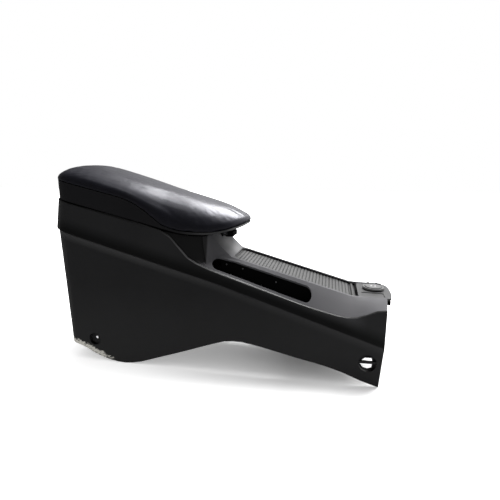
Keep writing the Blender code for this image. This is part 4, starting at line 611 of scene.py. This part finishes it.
def cad_copy(name, source):
    """A welded copy of a CAD piece as a new object."""
    bm = bmesh.new()
    bm.from_mesh(source.data)
    bmesh.ops.remove_doubles(bm, verts=bm.verts, dist=0.00001)
    mesh = bpy.data.meshes.new(name)
    bm.to_mesh(mesh)
    bm.free()
    item = bpy.data.objects.new(name, mesh)
    bpy.context.scene.collection.objects.link(item)
    return item


def apply_modifiers(item):
    """Puts the mesh that the modifiers give in the place of the item's own."""
    graph = bpy.context.evaluated_depsgraph_get()
    made = bpy.data.meshes.new_from_object(item.evaluated_get(graph))
    item.modifiers.clear()
    item.data = made


def surface_tree(item):
    bm = bmesh.new()
    bm.from_mesh(item.data)
    tree = BVHTree.FromBMesh(bm)
    bm.free()
    return tree


pad = cad_copy("armrest_cushion", nodes["armrest_pad"])
remesh = pad.modifiers.new("remesh", "REMESH")
remesh.mode = "VOXEL"
remesh.voxel_size = VOXEL
apply_modifiers(pad)
base_surface = surface_tree(nodes["armrest_base"])
rest_places = [vertex.co.copy() for vertex in pad.data.vertices]
free = []
for place in rest_places:
    distance = base_surface.find_nearest(place)[3]
    free.append(min(1.0, max(0.0, (distance - HELD_NEAR_BASE) / 0.012)))
held = pad.vertex_groups.new(name="held")
for index, share in enumerate(free):
    held.add([index], 1.0 - share, "REPLACE")

cloth = pad.modifiers.new("cloth", "CLOTH")
cloth.settings.vertex_group_mass = "held"
cloth.settings.pin_stiffness = 1.0
cloth.settings.use_pressure = True
cloth.settings.uniform_pressure_force = 4.0
cloth.settings.effector_weights.gravity = 0.0
cloth.settings.quality = 5
cloth.point_cache.frame_start, cloth.point_cache.frame_end = 1, CLOTH_FRAMES
for step in range(1, CLOTH_FRAMES + 1):
    bpy.context.scene.frame_set(step)
apply_modifiers(pad)
bpy.context.scene.frame_set(1)
for vertex, place, share in zip(pad.data.vertices, rest_places, free):
    move = vertex.co - place
    limit = PAD_RISE * share
    if move.length > limit:
        vertex.co = place + move * (limit / move.length)
relax = pad.modifiers.new("relax", "SMOOTH")
relax.factor, relax.iterations = 0.5, 4
finer = pad.modifiers.new("finer", "SUBSURF")
finer.levels = finer.render_levels = 1
apply_modifiers(pad)
pad.data.shade_smooth()
dress(pad, leather_finish)
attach(pad, "armrest")
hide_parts("armrest_pad")
print("cushion faces:", len(pad.data.polygons))

# %% [markdown]
# ## The ribbed cover
# The cover is a row of slats on a flexible back, like a roll-top desk. It slides down its guides, and the
# slats turn down behind the cups as it opens. One mesh can't both keep its first slats and hide the rest, so
# it is made as two: the slats at the pull, and the slats behind them.

# %% Ribbed cover
SLOPE = math.radians(16.0)
COVER_FRONT = Vector((0.28018, 0.0, 0.15927))
FIRST_RIB = 0.0128
RIB_PITCH = 0.0072
RIB_COUNT = 35
RIBS_AT_PULL = 6
RIB_DEPTH = 0.0013
COVER_BACK = 0.0012
GROOVE = 0.0016
COVER_HALF_WIDTH = 0.054
slope_frame = Matrix.Translation(COVER_FRONT) @ Matrix.Rotation(SLOPE, 4, "Y")


def rib_profile(first, last):
    """Side view of a run of ribs in the cover's own frame: x back from the pull, z up."""
    points = []
    for index in range(first, last):
        start = -FIRST_RIB - index * RIB_PITCH
        floor, top = -RIB_DEPTH, 0.0
        half = GROOVE / 2
        points += [(start - half * 0.15, floor), (start - half * 0.75, floor + RIB_DEPTH * 0.55),
                   (start - half * 1.1, top - RIB_DEPTH * 0.12), (start - half * 1.7, top)]
        points += [(start - RIB_PITCH / 2, top + RIB_DEPTH * 0.06)]
        end = start - RIB_PITCH
        points += [(end + half * 1.7, top), (end + half * 1.1, top - RIB_DEPTH * 0.12),
                   (end + half * 0.75, floor + RIB_DEPTH * 0.55), (end + half * 0.15, floor)]
    return points


def slat_run(name, first, last):
    profile = rib_profile(first, last)
    low = -RIB_DEPTH - COVER_BACK
    outline = profile + [(profile[-1][0], low), (profile[0][0], low)]
    bm = bmesh.new()
    sides = []
    for y in (-COVER_HALF_WIDTH, COVER_HALF_WIDTH):
        sides.append([bm.verts.new(slope_frame @ Vector((x, y, z))) for x, z in outline])
    count = len(outline)
    for index in range(count):
        after = (index + 1) % count
        bm.faces.new((sides[0][index], sides[0][after], sides[1][after], sides[1][index]))
    bm.faces.new(sides[0][::-1])
    bm.faces.new(sides[1])
    bmesh.ops.recalc_face_normals(bm, faces=bm.faces)
    bmesh.ops.triangulate(bm, faces=[face for face in bm.faces if len(face.verts) > 4])
    mesh = bpy.data.meshes.new(name)
    bm.to_mesh(mesh)
    bm.free()
    mesh.shade_smooth()
    mesh.set_sharp_from_angle(angle=math.radians(50))
    item = bpy.data.objects.new(name, mesh)
    bpy.context.scene.collection.objects.link(item)
    dress(item, cover_finish)
    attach(item, "cover")
    return item


front_slats = slat_run("slats_at_pull", 0, RIBS_AT_PULL)
rear_slats = slat_run("slats_behind", RIBS_AT_PULL, RIB_COUNT)
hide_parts("tambour_curtain")
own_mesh(rear_slats)
print("slats:", RIB_COUNT, "of which stay at the pull:", RIBS_AT_PULL)

# %% [markdown]
# ## The latch spring
# A small coil spring between the lid and the latch paddle pushes the hook home, and shortens when the paddle
# is pulled. The CAD coil rides on the lid, so the paddle would cut through it. A steel copy takes its place on
# the lid; it isn't squashed as the latch turns.

# %% Latch spring
coil = cad_copy("latch_coil", nodes["latch_spring"])
coil.data.shade_smooth()
dress(coil, steel_finish)
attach(coil, "armrest")
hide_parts("latch_spring")
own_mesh(coil)
print("coil faces:", len(coil.data.polygons))

# %% [markdown]
# ## The white room
# The picture has a plain white ground. The room is full white for the camera. For everything else it is
# a little softer on the camera's side, and in reflections it is dark on that side and bright behind and to
# the front, so that the dark plastic keeps its depth. Light Path tells these rays apart.

# %% White room
ROOM_LIGHT = 1.00
ROOM_DARK = 0.80
ROOM_DARK_SHINE = 0.08
ROOM_WHITE_SHINE = 0.90
ROOM_DARK_Y = -0.45
ROOM_WHITE_Y = 0.15
ROOM_REAR_X = -0.60
ROOM_FRONT_X = 0.60
ROOM_REAR_SHARE = 0.08
ROOM_FRONT_SHARE = 1.45

world = bpy.data.worlds.new("white_room")
bpy.context.scene.world = world
world.use_nodes = True
room = world.node_tree
room.nodes.clear()


def room_node(kind, values=None, **settings):
    node = room.nodes.new(kind)
    for key, value in settings.items():
        setattr(node, key, value)
    for socket, value in (values or {}).items():
        node.inputs[socket].default_value = value
    return node


def room_range(axis, start, end, low, high):
    """Strength that changes across the room along one axis."""
    node = room_node("ShaderNodeMapRange", {"From Min": start, "From Max": end, "To Min": low, "To Max": high})
    room.links.new(split_room.outputs[axis], node.inputs["Value"])
    return node.outputs["Result"]


direction = room_node("ShaderNodeTexCoord")
split_room = room_node("ShaderNodeSeparateXYZ")
room.links.new(direction.outputs["Generated"], split_room.inputs["Vector"])
rays = room_node("ShaderNodeLightPath")
reflected = room_node("ShaderNodeMath", operation="MAXIMUM")
room.links.new(rays.outputs["Is Glossy Ray"], reflected.inputs[0])
room.links.new(rays.outputs["Is Transmission Ray"], reflected.inputs[1])
shine = room_node("ShaderNodeMath", operation="MULTIPLY_ADD")
room.links.new(room_range("Y", ROOM_DARK_Y, ROOM_WHITE_Y, 0.0, ROOM_WHITE_SHINE), shine.inputs[0])
room.links.new(room_range("X", ROOM_REAR_X, ROOM_FRONT_X, ROOM_REAR_SHARE, ROOM_FRONT_SHARE), shine.inputs[1])
shine.inputs[2].default_value = ROOM_DARK_SHINE
room_strength = room_node("ShaderNodeMix", data_type="FLOAT")
room.links.new(reflected.outputs["Value"], room_strength.inputs["Factor"])
room.links.new(room_range("Y", ROOM_DARK_Y, ROOM_WHITE_Y, ROOM_DARK, ROOM_LIGHT), room_strength.inputs["A"])
room.links.new(shine.outputs["Value"], room_strength.inputs["B"])
final_strength = room_node("ShaderNodeMix", {"B": 1.0}, data_type="FLOAT")
room.links.new(rays.outputs["Is Camera Ray"], final_strength.inputs["Factor"])
room.links.new(room_strength.outputs["Result"], final_strength.inputs["A"])
sweep = room_node("ShaderNodeBackground", {"Color": (1.0, 1.0, 1.0, 1.0)})
room.links.new(final_strength.outputs["Result"], sweep.inputs["Strength"])
room_output = room_node("ShaderNodeOutputWorld")
room.links.new(sweep.outputs["Background"], room_output.inputs["Surface"])
print("room nodes:", len(room.nodes))

# %% [markdown]
# ## The paper floor
# The floor is white paper that keeps the console's shadow. A plain white floor would throw too much light
# up on the dark plastic, so it is white to the camera and darker to other rays. Far from the console it glows
# for the camera alone, so that it runs into the white of the room. At the console's rear end it glows for the
# camera alone as well, as painted light that lightens the console's shadow there.

# %% Paper floor
FLOOR_SIZE = 12.0
FLOOR_DROP = 0.0004
FLOOR_COLOR = (0.86, 0.86, 0.86, 1.0)
FLOOR_ON_PLASTIC = (0.30, 0.30, 0.30, 1.0)
FLOOR_SEEN_IN_PLASTIC = (0.10, 0.10, 0.10, 1.0)
FLOOR_LIFT_NEAR = 0.0
FLOOR_LIFT_FAR = 0.90
FLOOR_PAINTED_LIGHT_REAR = 0.42
FLOOR_REAR_X = -0.20
FLOOR_FRONT_X = 0.15
FLOOR_NEAR = 0.5
FLOOR_FAR = 2.0

floor_mesh = bpy.data.meshes.new("studio_floor")
corner = FLOOR_SIZE / 2
floor_mesh.from_pydata([(-corner, -corner, -FLOOR_DROP), (corner, -corner, -FLOOR_DROP),
                        (corner, corner, -FLOOR_DROP), (-corner, corner, -FLOOR_DROP)], [], [(0, 1, 2, 3)])
studio_floor = bpy.data.objects.new("studio_floor", floor_mesh)
bpy.context.scene.collection.objects.link(studio_floor)
paper = bpy.data.materials.new("white_paper")
paper.use_nodes = True
paper_nodes = paper.node_tree
paper_shader = paper_nodes.nodes["Principled BSDF"]
paper_shader.inputs["Roughness"].default_value = 0.9
paper_shader.inputs["Specular IOR Level"].default_value = 0.0
paper_rays = paper_nodes.nodes.new("ShaderNodeLightPath")
paper_tone = paper_nodes.nodes.new("ShaderNodeMix")
paper_tone.data_type = "RGBA"
tone_colors = [socket for socket in paper_tone.inputs if socket.type == "RGBA"]
tone_colors[1].default_value = FLOOR_COLOR
paper_shine = paper_nodes.nodes.new("ShaderNodeMix")
paper_shine.data_type = "RGBA"
shine_colors = [socket for socket in paper_shine.inputs if socket.type == "RGBA"]
shine_colors[0].default_value, shine_colors[1].default_value = FLOOR_ON_PLASTIC, FLOOR_SEEN_IN_PLASTIC
paper_nodes.links.new(paper_rays.outputs["Is Glossy Ray"], paper_shine.inputs["Factor"])
paper_nodes.links.new([socket for socket in paper_shine.outputs if socket.type == "RGBA"][0], tone_colors[0])
paper_nodes.links.new(paper_rays.outputs["Is Camera Ray"], paper_tone.inputs["Factor"])
paper_nodes.links.new([socket for socket in paper_tone.outputs if socket.type == "RGBA"][0],
                      paper_shader.inputs["Base Color"])
paper_glow = paper_nodes.nodes.new("ShaderNodeMath")
paper_glow.operation = "MULTIPLY"
paper_place = paper_nodes.nodes.new("ShaderNodeTexCoord")
paper_distance = paper_nodes.nodes.new("ShaderNodeVectorMath")
paper_distance.operation = "LENGTH"
paper_nodes.links.new(paper_place.outputs["Object"], paper_distance.inputs[0])
paper_split = paper_nodes.nodes.new("ShaderNodeSeparateXYZ")
paper_nodes.links.new(paper_place.outputs["Object"], paper_split.inputs["Vector"])
# painted light: a glow for the camera that lightens the shadow at the console's rear
paper_painted_light_rear = paper_nodes.nodes.new("ShaderNodeMapRange")
for socket, value in (("From Min", FLOOR_REAR_X), ("From Max", FLOOR_FRONT_X),
                      ("To Min", FLOOR_PAINTED_LIGHT_REAR), ("To Max", 0.0)):
    paper_painted_light_rear.inputs[socket].default_value = value
paper_nodes.links.new(paper_split.outputs["X"], paper_painted_light_rear.inputs["Value"])
paper_sum = paper_nodes.nodes.new("ShaderNodeMath")
paper_sum.operation = "ADD"
paper_nodes.links.new(paper_painted_light_rear.outputs["Result"], paper_sum.inputs[0])
paper_lift = paper_nodes.nodes.new("ShaderNodeMapRange")
for socket, value in (("From Min", FLOOR_NEAR), ("From Max", FLOOR_FAR),
                      ("To Min", FLOOR_LIFT_NEAR), ("To Max", FLOOR_LIFT_FAR)):
    paper_lift.inputs[socket].default_value = value
paper_nodes.links.new(paper_distance.outputs["Value"], paper_lift.inputs["Value"])
paper_nodes.links.new(paper_lift.outputs["Result"], paper_sum.inputs[1])
paper_nodes.links.new(paper_sum.outputs["Value"], paper_glow.inputs[1])
paper_shader.inputs["Emission Color"].default_value = (1.0, 1.0, 1.0, 1.0)
paper_nodes.links.new(paper_rays.outputs["Is Camera Ray"], paper_glow.inputs[0])
paper_nodes.links.new(paper_glow.outputs["Value"], paper_shader.inputs["Emission Strength"])
floor_mesh.materials.append(paper)
print("floor nodes:", len(paper_nodes.nodes))

# %% [markdown]
# ## The softboxes
# A large softbox stands behind the console and to its front, high up. It lights every face that looks up and
# draws the broad highlight on the armrest, while the side towards the camera gets only the light of the
# room. A weak one, high above, fills the shadows. Area lamps are used because their size sets how soft a
# highlight is.


# %% Softboxes
def softbox(name, place, target, width, height, watts, roll=0.0):
    lamp = bpy.data.lights.new(name, "AREA")
    lamp.shape = "RECTANGLE"
    lamp.size, lamp.size_y, lamp.energy = width, height, watts
    item = bpy.data.objects.new(name, lamp)
    item.location = place
    item.rotation_mode = "QUATERNION"
    aim = (Vector(target) - Vector(place)).to_track_quat("-Z", "Y")
    item.rotation_quaternion = aim @ Quaternion((0.0, 0.0, 1.0), math.radians(roll))
    item.visible_camera = False
    bpy.context.scene.collection.objects.link(item)
    return item


softbox("softbox_behind", place=(0.54, 0.84, 1.93), target=(0.10, 0.0, 0.20),
        width=1.5, height=1.1, watts=120.0, roll=-12.0)
softbox("softbox_above", place=(0.30, 0.10, 2.40), target=(0.2, 0.0, 0.0), width=1.6, height=1.6, watts=10.0)
print("two softboxes ready")
